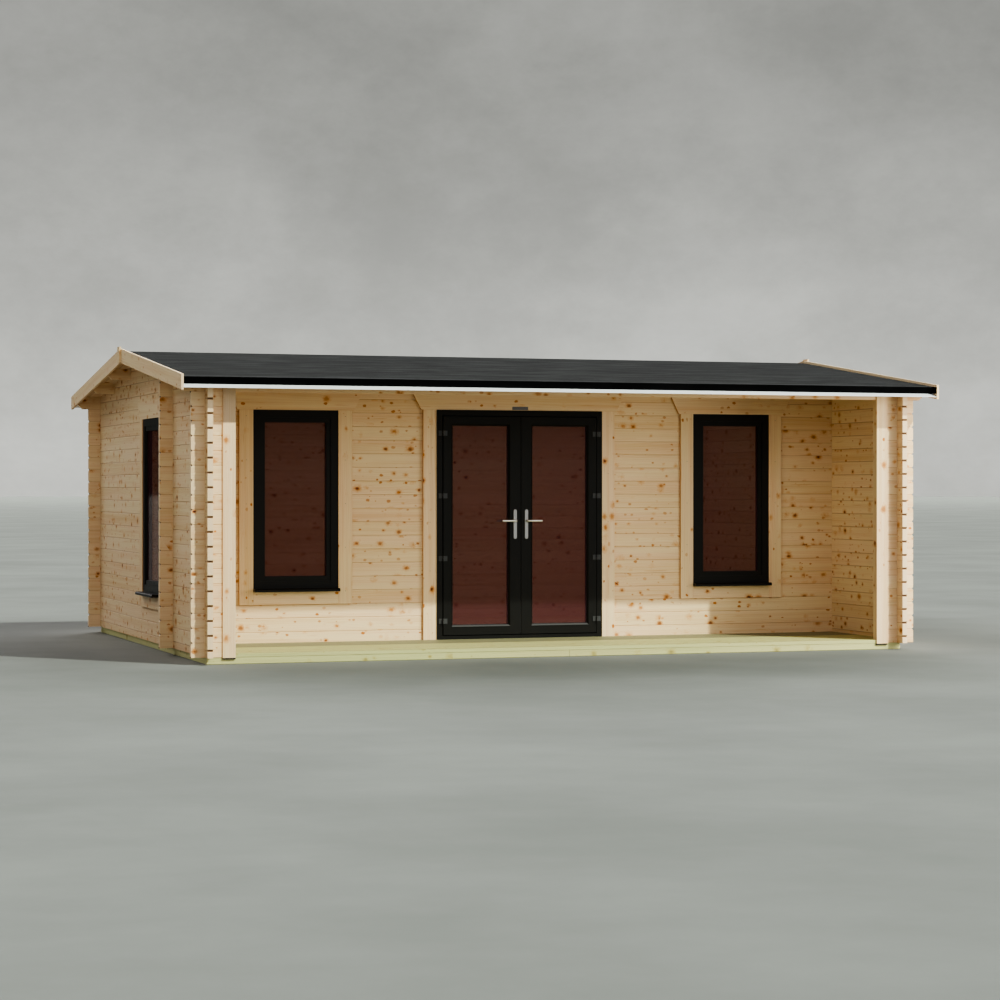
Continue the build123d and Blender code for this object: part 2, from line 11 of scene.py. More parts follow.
import bpy
import numpy as np
from bpy.props import FloatProperty, FloatVectorProperty, PointerProperty
from bpy.types import Operator, Panel, PropertyGroup
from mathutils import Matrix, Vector


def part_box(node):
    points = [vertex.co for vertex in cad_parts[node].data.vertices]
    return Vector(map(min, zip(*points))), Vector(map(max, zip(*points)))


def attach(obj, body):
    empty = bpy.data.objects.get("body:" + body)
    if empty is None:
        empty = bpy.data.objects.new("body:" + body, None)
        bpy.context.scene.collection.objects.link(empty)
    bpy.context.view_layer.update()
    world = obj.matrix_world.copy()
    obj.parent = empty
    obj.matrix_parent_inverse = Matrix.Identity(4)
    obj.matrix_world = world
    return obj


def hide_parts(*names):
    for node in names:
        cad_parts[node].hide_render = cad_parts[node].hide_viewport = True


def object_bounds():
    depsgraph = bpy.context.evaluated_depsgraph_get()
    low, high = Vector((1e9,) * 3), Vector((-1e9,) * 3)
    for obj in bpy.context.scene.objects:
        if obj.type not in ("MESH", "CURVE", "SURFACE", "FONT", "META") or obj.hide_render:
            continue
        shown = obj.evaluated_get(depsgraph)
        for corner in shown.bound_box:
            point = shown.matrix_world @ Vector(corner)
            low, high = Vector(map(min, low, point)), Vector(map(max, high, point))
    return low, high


bl_info = {
    "name": "Log cabin finishes",
    "version": (1, 0, 0),
    "blender": (4, 5, 0),
    "location": "View3D > Sidebar > Cabin",
    "description": "Finishes, boards, seals and fixings for a log cabin",
    "category": "Object",
}

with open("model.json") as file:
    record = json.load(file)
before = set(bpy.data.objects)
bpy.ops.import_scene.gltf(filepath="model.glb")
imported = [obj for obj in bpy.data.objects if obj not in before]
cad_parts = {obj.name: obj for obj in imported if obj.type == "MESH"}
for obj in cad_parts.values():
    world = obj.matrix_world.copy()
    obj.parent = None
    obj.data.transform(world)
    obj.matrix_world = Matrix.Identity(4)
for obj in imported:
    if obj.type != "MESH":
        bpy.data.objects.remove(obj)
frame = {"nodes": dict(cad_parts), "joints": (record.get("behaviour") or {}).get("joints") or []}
NODES = frame["nodes"]
CAD_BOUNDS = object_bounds()

# ---- Sizes that the frame gives -----------------------------------------------------------
LOG = 0.114  # height of one course
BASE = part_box("cross_bearers")[1].z
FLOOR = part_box("interior_floor")[1].z
CROSS_SEAM = BASE + LOG
SIDE_SEAM = BASE + LOG / 2
SIDE_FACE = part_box("right_side_wall")[1].x
INNER_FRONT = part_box("front_wall_left")[0].y
INNER_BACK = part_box("front_wall_left")[1].y
DECK_LOW, DECK_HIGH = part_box("veranda_deck")
DECK_BOARDS = 9
DECK_GAP = 0.005
DECK_PITCH = (DECK_HIGH.y - DECK_LOW.y + DECK_GAP) / DECK_BOARDS
ROOF_LOW, ROOF_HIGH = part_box("roof_boards_front")
EAVE_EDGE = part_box("roof_felt")[1].y
PITCH = math.radians(7.2)
LEAF_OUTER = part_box("left_leaf_frame")[0].y
LEAF_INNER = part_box("left_leaf_frame")[1].y
PANE_COVER = 0.010  # how far the frames overlap the edges of the panes
PANE_THICKNESS = 0.024
LEVER_PIVOT = next(joint["pos_m"] for joint in frame["joints"] if joint["name"] == "right_lever_turn")
HANDLE_OFFSET, HANDLE_HEIGHT = LEVER_PIVOT[0], LEVER_PIVOT[2]
WINDOW_BORDER = 0.100  # rim and sash, up to the edge of the pane
SILL = 0.025
LOWER_CASING = 0.107  # height of the board under a window
PURLIN_SPACING = 0.775
JOIST_COUNT = 9
DECK_SCREW = 0.038  # from the middle of a deck board to its screws
SUNK = 0.0003  # how deep a screw head sits in its board
BEAD = 0.003  # radius of the seals round the panes


# ---- Meshes -------------------------------------------------------------------------------
def new_piece(name, points, faces, uvs=None, body="cabin", slot=None, material=None, smooth=False):
    """A mesh object from arrays of points and faces, riding on a body of the frame."""
    mesh = bpy.data.meshes.new(name)
    mesh.from_pydata(points, [], faces)
    if uvs is not None:
        layer = mesh.uv_layers.new(name="Grain")
        layer.data.foreach_set("uv", np.asarray(uvs, np.float32).ravel())
    mesh.polygons.foreach_set("use_smooth", np.full(len(mesh.polygons), smooth))
    mesh.update()
    piece = bpy.data.objects.new(name, mesh)
    bpy.context.scene.collection.objects.link(piece)
    if material is not None:
        mesh.materials.append(material)
    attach(piece, body)
    return piece


def eased_section(width, thickness, ease):
    """Eight points round a rectangle (across 0..width, out 0..thickness) with cut corners."""
    w, t, e = width, thickness, ease
    return np.array([(e, 0), (w - e, 0), (w, e), (w, t - e), (w - e, t), (e, t), (0, t - e), (0, e)], float)


def board(origin, along, across, length, width, thickness, ease=0.0015, splay=(0.0, 0.0), seed=0):
    """Points, faces and UVs of one board.

    A point is origin + along * a + across * b + out * c, where (b, c) runs round the eased section
    and a is 0 or the length, moved by the splay times b / width so that an end may be cut askew.
    """
    origin, along, across = (np.asarray(v, float) for v in (origin, along, across))
    out = np.cross(along, across)
    section = eased_section(width, thickness, ease)
    count = len(section)
    share = section[:, 0] / width
    starts = -splay[0] * share
    ends = length + splay[1] * share
    distance = np.concatenate([starts, ends])
    b = np.tile(section[:, 0], 2)
    c = np.tile(section[:, 1], 2)
    points = origin + distance[:, None] * along + b[:, None] * across + c[:, None] * out
    i = np.arange(count)
    j = (i + 1) % count
    sides = np.stack([i, j, j + count, i + count], 1)
    faces = [list(f) for f in sides[:, ::-1]] + [list(i), list(i[::-1] + count)]
    shift = np.random.default_rng(seed).uniform(0, 40, 2)
    flat = np.stack([distance, b + c], 1) + shift
    uvs = np.concatenate([flat[f] for f in faces])
    return points, faces, uvs


def joined(parts):
    """Several shapes as one: their points, faces and, where they have them, UVs."""
    starts = np.cumsum([0] + [len(part[0]) for part in parts])
    faces = [[start + i for i in face] for start, part in zip(starts, parts) for face in part[1]]
    uvs = [np.concatenate([part[2] for part in parts])] if len(parts[0]) > 2 else []
    return np.concatenate([part[0] for part in parts]), faces, *uvs


FLIPPED = [0, 3, 2, 1]  # the corners of a quad seen from its other side


def ring_quads(rings, count, closed=False):
    """Quads between rings of count points: point i of ring k is number k * count + i."""
    k, i = np.meshgrid(np.arange(rings if closed else rings - 1), np.arange(count), indexing="ij")
    j, after = (i + 1) % count, (k + 1) % rings
    corners = [k * count + i, k * count + j, after * count + j, after * count + i]
    return np.stack(corners, -1).reshape(-1, 4)


def frame_of_bead(corners, out, radius, sides=8):
    """A round bead carried round a closed outline, mitred at its corners.

    At each corner a circle of the given radius lies in the plane that halves the corner: a point is
    corner + radius * (cos t * mitre + sin t * out), the mitre being longer by 1 / cos of half the turn.
    """
    corners = np.asarray(corners, float)
    out = np.asarray(out, float)
    ahead = np.roll(corners, -1, 0) - corners
    ahead /= np.linalg.norm(ahead, axis=1)[:, None]
    behind = np.roll(ahead, 1, 0)
    side_a, side_b = np.cross(ahead, out), np.cross(behind, out)
    mitre = side_a + side_b
    mitre /= (mitre * side_a).sum(1)[:, None]
    t = np.linspace(0, 2 * np.pi, sides, endpoint=False)
    ring = np.cos(t)[None, :, None] * mitre[:, None, :] + np.sin(t)[None, :, None] * out
    points = (corners[:, None, :] + radius * ring).reshape(-1, 3)
    return points, ring_quads(len(corners), sides, closed=True)[:, FLIPPED].tolist()


def round_ended_plate(centre, along, across, length, width, thickness, ease, turns=14, rounds=4):
    """Points and faces of a plate with half-round ends and an eased front edge.

    Every ring is a stadium, two half circles of radius r about points (length - width) / 2 to either
    side of the centre along the plate.  From the back to the front r goes from width / 2 to
    width / 2 - ease * (1 - cos a) while the height goes up to thickness - ease * (1 - sin a).
    """
    centre, along, across = (np.asarray(v, float) for v in (centre, along, across))
    out = np.cross(along, across)
    t = np.concatenate([np.linspace(0, np.pi, turns), np.linspace(np.pi, 2 * np.pi, turns)])
    end = np.repeat([1.0, -1.0], turns) * (length - width) / 2
    a = np.linspace(0, np.pi / 2, rounds + 1)
    radii = np.concatenate([[width / 2], width / 2 - ease * (1 - np.cos(a))])
    heights = np.concatenate([[0.0], thickness - ease * (1 - np.sin(a))])
    flat = radii[:, None, None] * (np.cos(t)[:, None] * across + np.sin(t)[:, None] * along)
    points = centre + flat + end[:, None] * along + heights[:, None, None] * out
    count = len(t)
    last = (len(radii) - 1) * count
    ends = [list(range(count)), list(range(last, last + count))[::-1]]
    flipped = ring_quads(len(radii), count)[:, [1, 0, 3, 2]]
    return points.reshape(-1, 3), flipped.tolist() + ends


def drawn_bar(path, first_side, second_side, first_radius, second_radius, squareness, turns=16):
    """Points and faces of a bar drawn along a path, closed at both ends.

    At each place of the path a point is place + first_radius * c * first_side + second_radius * s *
    second_side, where c and s are the cosine and sine of the turn, each raised to the power
    squareness with its sign kept, so a power under 1 makes a squarer bar.
    """
    t = np.linspace(0, 2 * np.pi, turns, endpoint=False)
    power = np.asarray(squareness, float)[:, None]
    c = np.sign(np.cos(t)) * np.abs(np.cos(t)) ** power
    s = np.sign(np.sin(t)) * np.abs(np.sin(t)) ** power
    points = (np.asarray(path, float)[:, None, :]
              + (np.asarray(first_radius)[:, None] * c)[..., None] * np.asarray(first_side)[:, None, :]
              + (np.asarray(second_radius)[:, None] * s)[..., None] * np.asarray(second_side)[:, None, :])
    last = (len(points) - 1) * turns
    ends = [list(range(turns))[::-1], list(range(last, last + turns))]
    return points.reshape(-1, 3), ring_quads(len(points), turns).tolist() + ends


def handle_lever(side, face, outward, length):
    """One lever of a door handle: a round neck out of the plate, a quarter bend and a flat grip.

    The neck's radius is 8 mm.  Along the grip the section goes over to 5.5 by 9 mm, and over the last
    9 mm both shrink by the root of 1 - q squared, where q is the share of that length, to a round tip.
    """
    bend = 0.008
    reach = 0.0505  # from the leaf's face to the middle of the grip
    rounding = 0.009  # length of the round tip
    a = np.linspace(0, np.pi / 2, 7)[1:-1]
    run = np.linspace(0.0, 1.0, 8)
    tip = np.sin(np.linspace(0, np.pi / 2, 7)[1:]) * 0.985
    along = np.concatenate([[0, 0, 0], bend * (1 - np.cos(a)), bend + run * (length - bend - rounding),
                            length - rounding + rounding * tip])
    away = np.concatenate([[0.0005, 0.03, reach - bend], reach - bend + bend * np.sin(a),
                           np.full(len(run) + len(tip), reach)])
    path = np.stack([side * (HANDLE_OFFSET + along), face + outward * away,
                     np.full(len(along), HANDLE_HEIGHT)], 1)
    turn = np.concatenate([[0, 0, 0], a, np.full(len(run) + len(tip), np.pi / 2)])
    first = np.stack([-side * np.cos(turn), outward * np.sin(turn), np.zeros(len(turn))], 1)
    second = np.tile([0.0, 0.0, 1.0], (len(turn), 1))
    flatness = np.concatenate([[0, 0, 0], np.linspace(0, 0.6, len(a)), np.clip(0.6 + run * 1.2, 0, 1),
                               np.ones(len(tip))])
    shrink = np.concatenate([np.ones(len(turn) - len(tip)), np.sqrt(1 - tip ** 2)])
    radii = (0.008 - 0.0025 * flatness) * shrink, (0.008 + 0.001 * flatness) * shrink
    ahead = np.array([0.0, outward, 0.0])
    if np.dot(np.cross(first[0], second[0]), ahead) < 0:
        second = -second
    return drawn_bar(path, first, second, *radii, 1.0 - 0.25 * flatness)


def screw_heads(centres, out, radius, rise, sides=10):
    """Low domed heads at many places: height over the surface is rise * (1 - (r / radius) squared)."""
    out = np.asarray(out, float)
    helper = np.array([0.0, 0.0, 1.0]) if abs(out[2]) < 0.9 else np.array([1.0, 0.0, 0.0])
    u = np.cross(out, helper)
    u /= np.linalg.norm(u)
    v = np.cross(out, u)
    rings = np.array([1.0, 0.7, 0.35])
    t = np.linspace(0, 2 * np.pi, sides, endpoint=False)
    circle = np.cos(t)[:, None] * u + np.sin(t)[:, None] * v
    height = (rise * (1 - rings ** 2))[:, None, None]
    dome = (rings[:, None, None] * radius * circle + height * out).reshape(-1, 3)
    dome = np.concatenate([dome, [rise * out * 0.55]])
    centres = np.asarray(centres, float)
    points = (centres[:, None, :] + dome).reshape(-1, 3)
    quads = ring_quads(len(rings), sides)
    last = (len(rings) - 1) * sides
    k = np.arange(sides)
    fan = np.stack([last + k, last + (k + 1) % sides, np.full(sides, len(dome) - 1)], 1)
    faces = []
    for n in range(len(centres)):
        start = n * len(dome)
        faces += (quads + start).tolist() + (fan + start).tolist()
    return points, faces


# ---- Shader nodes -------------------------------------------------------------------------
class Nodes:
    """Short ways to add and join the nodes of one tree."""

    def __init__(self, tree):
        self.tree = tree

    def add(self, kind, inputs=None, **settings):
        node = self.tree.nodes.new(kind)
        for name, value in settings.items():
            setattr(node, name, value)
        for name, value in (inputs or {}).items():
            self.feed(node.inputs[name], value)
        return node

    def feed(self, socket, value):
        if isinstance(value, bpy.types.NodeSocket):
            self.tree.links.new(value, socket)
        else:
            socket.default_value = value

    def math(self, operation, a, b=0.0, c=0.0):
        return self.add("ShaderNodeMath", {0: a, 1: b, 2: c}, operation=operation).outputs[0]

    def times(self, a, b):
        return self.math("MULTIPLY", a, b)

    def plus(self, a, b):
        return self.math("ADD", a, b)

    def scaled(self, a, factor, offset):
        return self.math("MULTIPLY_ADD", a, factor, offset)

    def vector(self, operation, a, b=(0, 0, 0)):
        return self.add("ShaderNodeVectorMath", {0: a, 1: b}, operation=operation).outputs["Vector"]

    def split(self, vector):
        return self.add("ShaderNodeSeparateXYZ", {0: vector}).outputs

    def combine(self, x, y, z):
        return self.add("ShaderNodeCombineXYZ", {0: x, 1: y, 2: z}).outputs[0]

    def grey(self, value):
        return self.combine(value, value, value)

    def coordinates(self, title="Object"):
        return self.add("ShaderNodeTexCoord").outputs[title]

    def ramp(self, value, low, high):
        """0 below low, 1 above high, smooth between; falls instead where low is above high."""
        if low < high:
            inputs = {"Value": value, "From Min": low, "From Max": high, "To Min": 0.0, "To Max": 1.0}
        else:
            inputs = {"Value": value, "From Min": high, "From Max": low, "To Min": 1.0, "To Max": 0.0}
        return self.add("ShaderNodeMapRange", inputs, interpolation_type="SMOOTHSTEP").outputs[0]

    def blend(self, factor, a, b, mode="MIX"):
        node = self.add("ShaderNodeMix", data_type="RGBA", blend_type=mode)
        self.feed(node.inputs[0], factor)
        self.feed(node.inputs[6], a)
        self.feed(node.inputs[7], b)
        return node.outputs[2]

    def noise(self, vector, scale=(1, 1, 1), detail=2.0, roughness=0.5):
        stretched = self.vector("MULTIPLY", vector, scale)
        inputs = {"Vector": stretched, "Scale": 1.0, "Detail": detail, "Roughness": roughness}
        return self.add("ShaderNodeTexNoise", inputs).outputs["Fac"]


def rgb(colour):
    return (*colour[:3], 1.0)


def new_group(name, inputs, outputs):
    """An empty shader node group; returns it with its helper, its inputs and its outputs."""
    group = bpy.data.node_groups.new(name, "ShaderNodeTree")
    for title, kind, default in inputs:
        socket = group.interface.new_socket(title, in_out="INPUT", socket_type="NodeSocket" + kind)
        if default is not None:
            socket.default_value = default
    for title, kind in outputs:
        group.interface.new_socket(title, in_out="OUTPUT", socket_type="NodeSocket" + kind)
    nodes = Nodes(group)
    start = nodes.add("NodeGroupInput")
    end = nodes.add("NodeGroupOutput")
    return group, nodes, start.outputs, end.inputs


def make_courses(name):
    """Splits a run of logs or boards into courses: a shift and a tone for each, and the joints' mask."""
    group, n, given, out = new_group(
        name,
        [("Position", "Float", 0.0), ("First", "Float", 0.0), ("Course", "Float", 0.1),
         ("Seed", "Float", 0.0), ("Joint", "Float", 0.004)],
        [("Shift", "Vector"), ("Tone", "Float"), ("Joint", "Float")])
    steps = n.math("DIVIDE", n.math("SUBTRACT", given["Position"], given["First"]), given["Course"])
    index = n.math("FLOOR", steps)
    within = n.math("SUBTRACT", steps, index)
    nearest = n.times(n.math("MINIMUM", within, n.math("SUBTRACT", 1.0, within)), given["Course"])
    joint = n.math("SUBTRACT", 1.0, n.math("DIVIDE", nearest, given["Joint"]))
    chance = n.add("ShaderNodeTexWhiteNoise", {"W": n.plus(index, given["Seed"])}, noise_dimensions="1D")
    n.feed(out["Shift"], n.vector("MULTIPLY", chance.outputs["Color"], (37.0, 23.0, 29.0)))
    n.feed(out["Tone"], chance.outputs["Value"])
    n.feed(out["Joint"], n.add("ShaderNodeClamp", {"Value": joint}).outputs[0])
    return group


def make_wood(name):
    """Planed softwood with its grain along the vector's X: streaks, rings, knots and resin flecks.

    Where End is 1 it shows end grain instead: rings round a heart that lies below the piece.
    """
    group, n, given, out = new_group(
        name,
        [("Vector", "Vector", None), ("End", "Float", 0.0), ("Tone", "Float", 0.5),
         ("Pale", "Color", (0.8, 0.63, 0.42, 1)), ("Warm", "Color", (0.7, 0.45, 0.22, 1)),
         ("Resin", "Color", (0.6, 0.28, 0.08, 1)), ("Knot", "Color", (0.2, 0.06, 0.02, 1)),
         ("Knots", "Float", 0.6), ("Contrast", "Float", 0.5)],
        [("Color", "Color"), ("Roughness", "Float"), ("Height", "Float")])
    place = given["Vector"]
    across, through = n.split(place)[1:3]

    # knots: cells with a chance of a knot in each, as balls of different sizes
    cells = n.add("ShaderNodeTexVoronoi",
                  {"Vector": n.vector("MULTIPLY", place, (10.5, 13.5, 13.5)), "Scale": 1.0},
                  voronoi_dimensions="3D", feature="F1")
    distance = cells.outputs["Distance"]
    chances = n.add("ShaderNodeSeparateColor", {0: cells.outputs["Color"]}).outputs
    size = n.scaled(n.math("POWER", chances[0], 2.0), 0.16, 0.09)
    wobble = n.noise(place, (60, 60, 60), 2.0)
    reach = n.math("DIVIDE", distance, n.times(size, n.plus(wobble, 0.5)))
    present = n.math("LESS_THAN", chances[1], given["Knots"])
    core = n.times(n.ramp(reach, 0.85, 0.5), present)
    halo = n.times(n.ramp(reach, 1.5, 0.8), present)
    aura = n.times(n.ramp(reach, 2.9, 0.9), present)
    bend = n.times(n.ramp(reach, 4.5, 0.5), present)

    # orange flecks, thick in some places and missing in others
    specks = n.add("ShaderNodeTexVoronoi",
                   {"Vector": n.vector("MULTIPLY", place, (17.0, 25.0, 25.0)), "Scale": 1.0},
                   voronoi_dimensions="3D", feature="F1")
    odds = n.add("ShaderNodeSeparateColor", {0: specks.outputs["Color"]}).outputs
    crowd = n.ramp(n.noise(place, (1.7, 3.3, 3.3), 1.0), 0.36, 0.56)
    fleck = n.math("DIVIDE", specks.outputs["Distance"],
                   n.times(n.scaled(odds[0], 0.22, 0.11), n.plus(wobble, 0.5)))
    share = n.times(crowd, n.times(given["Knots"], 0.85))
    fleck = n.times(n.ramp(fleck, 1.15, 0.7), n.math("LESS_THAN", odds[1], share))

    # long soft streaks and thin growth lines that swell round the knots
    drift = n.noise(place, (0.7, 3.5, 3.5), 1.0)
    streaks = n.noise(place, (0.55, 26, 26), 4.0, 0.6)
    fibres = n.noise(place, (4.0, 210, 210), 2.0, 0.6)
    wave = n.plus(n.times(across, 330.0), n.times(drift, 46.0))
    wave = n.plus(wave, n.times(bend, 5.0))
    lines = n.math("POWER", n.scaled(n.math("SINE", wave), 0.5, 0.5), 3.0)
    resin = n.ramp(n.noise(n.vector("ADD", place, (3.1, 5.7, 1.3)), (2.6, 46, 46), 2.0, 0.5), 0.66, 0.76)

    # end grain: rings round a heart below and behind the piece
    heart = n.math("POWER", n.plus(n.math("POWER", n.math("FRACT", n.times(across, 3.1)), 2.0),
                                   n.math("POWER", n.times(through, 4.0), 2.0)), 0.5)
    rings = n.scaled(n.math("SINE", n.times(heart, 140.0)), 0.5, 0.5)

    warmth = n.times(n.ramp(streaks, 0.35, 0.75), given["Contrast"])
    warmth = n.plus(warmth, n.times(n.times(lines, 0.3), given["Contrast"]))
    warmth = n.plus(warmth, n.times(n.math("SUBTRACT", given["Tone"], 0.5), 0.3))
    warmth = n.add("ShaderNodeClamp", {"Value": warmth}).outputs[0]
    colour = n.blend(warmth, given["Pale"], given["Warm"])
    hue = n.noise(n.vector("ADD", place, (7.3, 2.9, 4.1)), (0.8, 7, 7), 2.0, 0.5)
    tint = n.blend(n.ramp(hue, 0.35, 0.65), (1.0, 0.97, 0.95, 1), (0.99, 1.0, 0.94, 1))
    colour = n.blend(1.0, colour, tint, "MULTIPLY")
    colour = n.blend(n.times(resin, 0.28), colour, given["Resin"])
    colour = n.blend(n.times(fleck, n.scaled(odds[2], 0.6, 0.4)), colour, given["Resin"])
    depth = n.scaled(n.math("POWER", chances[2], 1.5), 0.85, 0.15)
    amber = n.blend(1.0, given["Warm"], (0.97, 0.74, 0.42, 1), "MULTIPLY")
    colour = n.blend(n.times(aura, n.scaled(odds[2], 0.35, 0.25)), colour, amber)
    colour = n.blend(n.times(halo, n.scaled(depth, 0.3, 0.55)), colour, given["Resin"])
    colour = n.blend(n.times(core, depth), colour, given["Knot"])
    value = n.scaled(fibres, 0.12, 0.94)
    colour = n.blend(1.0, colour, n.grey(value), "MULTIPLY")
    cut = n.blend(n.times(rings, 0.3), given["Pale"], given["Warm"])
    colour = n.blend(given["End"], colour, cut)
    n.feed(out["Color"], colour)
    n.feed(out["Roughness"], n.scaled(fibres, 0.2, 0.5))
    height = n.plus(n.times(fibres, 0.5), n.times(lines, 0.35))
    n.feed(out["Height"], n.math("SUBTRACT", height, n.times(core, 0.6)))
    return group


def new_material(name):
    """A material with its node helper and its Principled shader."""
    material = bpy.data.materials.new(name)
    material.use_nodes = True
    nodes = Nodes(material.node_tree)
    shader = next(n for n in material.node_tree.nodes if n.type == "BSDF_PRINCIPLED")
    return material, nodes, shader


def bump(nodes, shader, height, distance, strength=1.0):
    """Feeds a height in metres times distance into the shader's normal."""
    node = nodes.add("ShaderNodeBump", {"Height": height, "Distance": distance, "Strength": strength})
    nodes.feed(shader.inputs["Normal"], node.outputs[0])


def use_group(nodes, name, make, inputs):
    """Places a shared node group, made the first time it is asked for, with its own values."""
    group = bpy.data.node_groups.get(name) or make(name)
    node = nodes.add("ShaderNodeGroup", node_tree=group)
    for title, value in inputs.items():
        nodes.feed(node.inputs[title], value)
    return node.outputs


def make_fine_grain(name):
    """Fine even grain: two colours mixed by it, a roughness that it changes, and its height."""
    group, n, given, out = new_group(
        name,
        [("Vector", "Vector", None), ("Scale", "Vector", None), ("Detail", "Float", 2.0),
         ("First", "Color", (0.5, 0.5, 0.5, 1)), ("Second", "Color", (0.4, 0.4, 0.4, 1)),
         ("Share", "Float", 1.0), ("Least", "Float", 0.4), ("Spread", "Float", 0.2)],
        [("Color", "Color"), ("Roughness", "Float"), ("Height", "Float")])
    grain = n.noise(given["Vector"], given["Scale"], given["Detail"])
    n.feed(out["Color"], n.blend(n.times(grain, given["Share"]), given["First"], given["Second"]))
    n.feed(out["Roughness"], n.scaled(grain, given["Spread"], given["Least"]))
    n.feed(out["Height"], grain)
    return group


def fine_material(name, scale, first, second, share=1.0, rough=(0.4, 0.2), detail=2.0, metallic=None,
                  relief=0.0):
    """A material of fine grain between two colours; rough is the least roughness and its spread."""
    material, n, shader = new_material(name)
    grain = use_group(n, "Fine grain", make_fine_grain, {
        "Vector": n.coordinates(), "Scale": scale, "Detail": detail, "First": rgb(first),
        "Second": rgb(second), "Share": share, "Least": rough[0], "Spread": rough[1]})
    n.feed(shader.inputs["Base Color"], grain["Color"])
    n.feed(shader.inputs["Roughness"], grain["Roughness"] if rough[1] else rough[0])
    if metallic is not None:
        shader.inputs["Metallic"].default_value = metallic
    if relief:
        bump(n, shader, grain["Height"], relief)
    return material


ORDER = {"X": (0, 2, 1), "Y": (1, 2, 0), "Z": (2, 0, 1)}  # grain axis first, then across, then through


def wood_material(name, wood, grain="X", tilt=0.0, courses=None, seed=0.0, from_uv=False, treated=False,
                  knots=None, notch=0.0, face=None, painted_shade=None):
    """Softwood with its grain along an axis, tilted about X where the piece follows the roof.

    face is the axis that a board faces: its narrow edges get painted shade, a browner colour.  painted_shade
    is (axis, from, to, how much): painted shade, the surface made darker between two places along the axis.

    courses is (axis, first joint, course, joint's half width, how dark the joint is); notch is how much
    wider the joint is on the end grain, where it is dark all over.
    """
    material, n, shader = new_material(name)
    tone, joint = 0.5, None
    if from_uv:
        uv = n.add("ShaderNodeUVMap", uv_map="Grain").outputs[0]
        x, y = n.split(uv)[:2]
        place = n.combine(x, y, 0.0)
        tone = n.add("ShaderNodeTexWhiteNoise", {"W": n.math("FLOOR", n.times(y, 2.0))},
                     noise_dimensions="1D").outputs["Value"]
        end = 0.0
    else:
        coordinates = n.add("ShaderNodeTexCoord")
        place, normal = coordinates.outputs["Object"], coordinates.outputs["Normal"]
        if tilt:
            turn = {"Rotation": (tilt, 0, 0)}
            place = n.add("ShaderNodeMapping", {"Vector": place, **turn}).outputs[0]
            normal = n.add("ShaderNodeMapping", {"Vector": normal, **turn}).outputs[0]
        axes = n.split(place)
        a, b, c = (axes[i] for i in ORDER[grain])
        facing = n.split(normal)[ORDER[grain][0]]
        end = n.ramp(n.math("ABSOLUTE", facing), 0.6, 0.75)
        if courses:
            axis, first, course, joint_half, dark = courses
            split = use_group(n, "Courses", make_courses, {
                "Position": axes["XYZ".index(axis)], "First": first, "Course": course, "Seed": seed,
                "Joint": n.scaled(end, notch, joint_half)})
            joint, tone = split["Joint"], split["Tone"]
            place = n.vector("ADD", n.combine(a, b, c), split["Shift"])
        else:
            place = n.vector("ADD", n.combine(a, b, c), (seed * 3.7, seed * 1.9, 0.0))
    colours = (wood.treated_pale, wood.treated_warm, wood.treated_resin, wood.treated_knot) if treated else (
        wood.pale, wood.warm, wood.resin, wood.knot)
    grained = use_group(n, "Softwood", make_wood, {
        "Vector": place, "End": end, "Tone": tone, "Pale": rgb(colours[0]), "Warm": rgb(colours[1]),
        "Resin": rgb(colours[2]), "Knot": rgb(colours[3]), "Knots": wood.knots if knots is None else knots,
        "Contrast": wood.contrast})
    colour = grained["Color"]
    if joint is not None:
        colour = n.blend(n.times(joint, dark), colour, rgb(wood.joint))
    if notch:
        colour = n.blend(n.times(n.ramp(joint, 0.15, 0.45), end), colour, rgb(wood.notch))
    # painted shade: the narrow edges of a board, turned away from the face axis, are blended towards the
    # resin colour
    if face:
        turned = n.split(n.coordinates("Normal"))["XYZ".index(face)]
        edge = n.times(n.ramp(n.math("ABSOLUTE", turned), 0.5, 0.2), 0.7)
        colour = n.blend(edge, colour, rgb(wood.resin))
    # painted shade: between two places along the axis the colour is blended towards a dark grey
    if painted_shade:
        axis, start, finish, amount = painted_shade
        where = n.split(n.coordinates())["XYZ".index(axis)]
        colour = n.blend(n.times(n.ramp(where, start, finish), amount), colour, (0.07, 0.06, 0.075, 1))
    n.feed(shader.inputs["Base Color"], colour)
    n.feed(shader.inputs["Roughness"], grained["Roughness"])
    bump(n, shader, grained["Height"], 0.0006)
    return material


def dress(names, material):
    """Gives CAD nodes a finish."""
    for name in names:
        slots = NODES[name].data.materials
        slots.clear()
        slots.append(material)


# ---- What a user would change -------------------------------------------------------------
def colour_property(name, description, default):
    return FloatVectorProperty(name=name, description=description, default=default, subtype="COLOR",
                               min=0.0, max=1.0)


def length_property(name, description, default):
    return FloatProperty(name=name, description=description, default=default, unit="LENGTH")


def strength_property(name, description, default):
    return FloatProperty(name=name, description=description, default=default, min=0.0)


class CabinWood(PropertyGroup):
    """Colours and figure of the spruce and of the treated timber."""

    pale: colour_property("Pale wood", "Spruce between the streaks", (0.84, 0.65, 0.435))
    warm: colour_property("Warm wood", "Late wood and resin streaks", (0.69, 0.43, 0.215))
    resin: colour_property("Resin", "Orange wood round a knot", (0.54, 0.205, 0.04))
    knot: colour_property("Knot", "Heart of a knot", (0.12, 0.020, 0.008))
    joint: colour_property("Joint", "Shade inside the joints between logs", (0.40, 0.19, 0.09))
    notch: colour_property("Notch", "Shade inside the notches at the logs' ends", (0.11, 0.045, 0.018))
    treated_pale: colour_property("Treated wood", "Green treated timber", (0.57, 0.555, 0.285))
    treated_warm: colour_property("Treated late wood", "Its late wood", (0.45, 0.44, 0.21))
    treated_resin: colour_property("Treated resin", "Wood round its knots", (0.40, 0.34, 0.12))
    treated_knot: colour_property("Treated knot", "Heart of its knots", (0.20, 0.14, 0.05))
    knots: FloatProperty(name="Knots", description="Share of places that hold a knot", default=0.54,
                         min=0.0, max=1.0)
    contrast: FloatProperty(name="Contrast", description="Strength of the grain", default=0.45,
                            min=0.0, max=1.0)


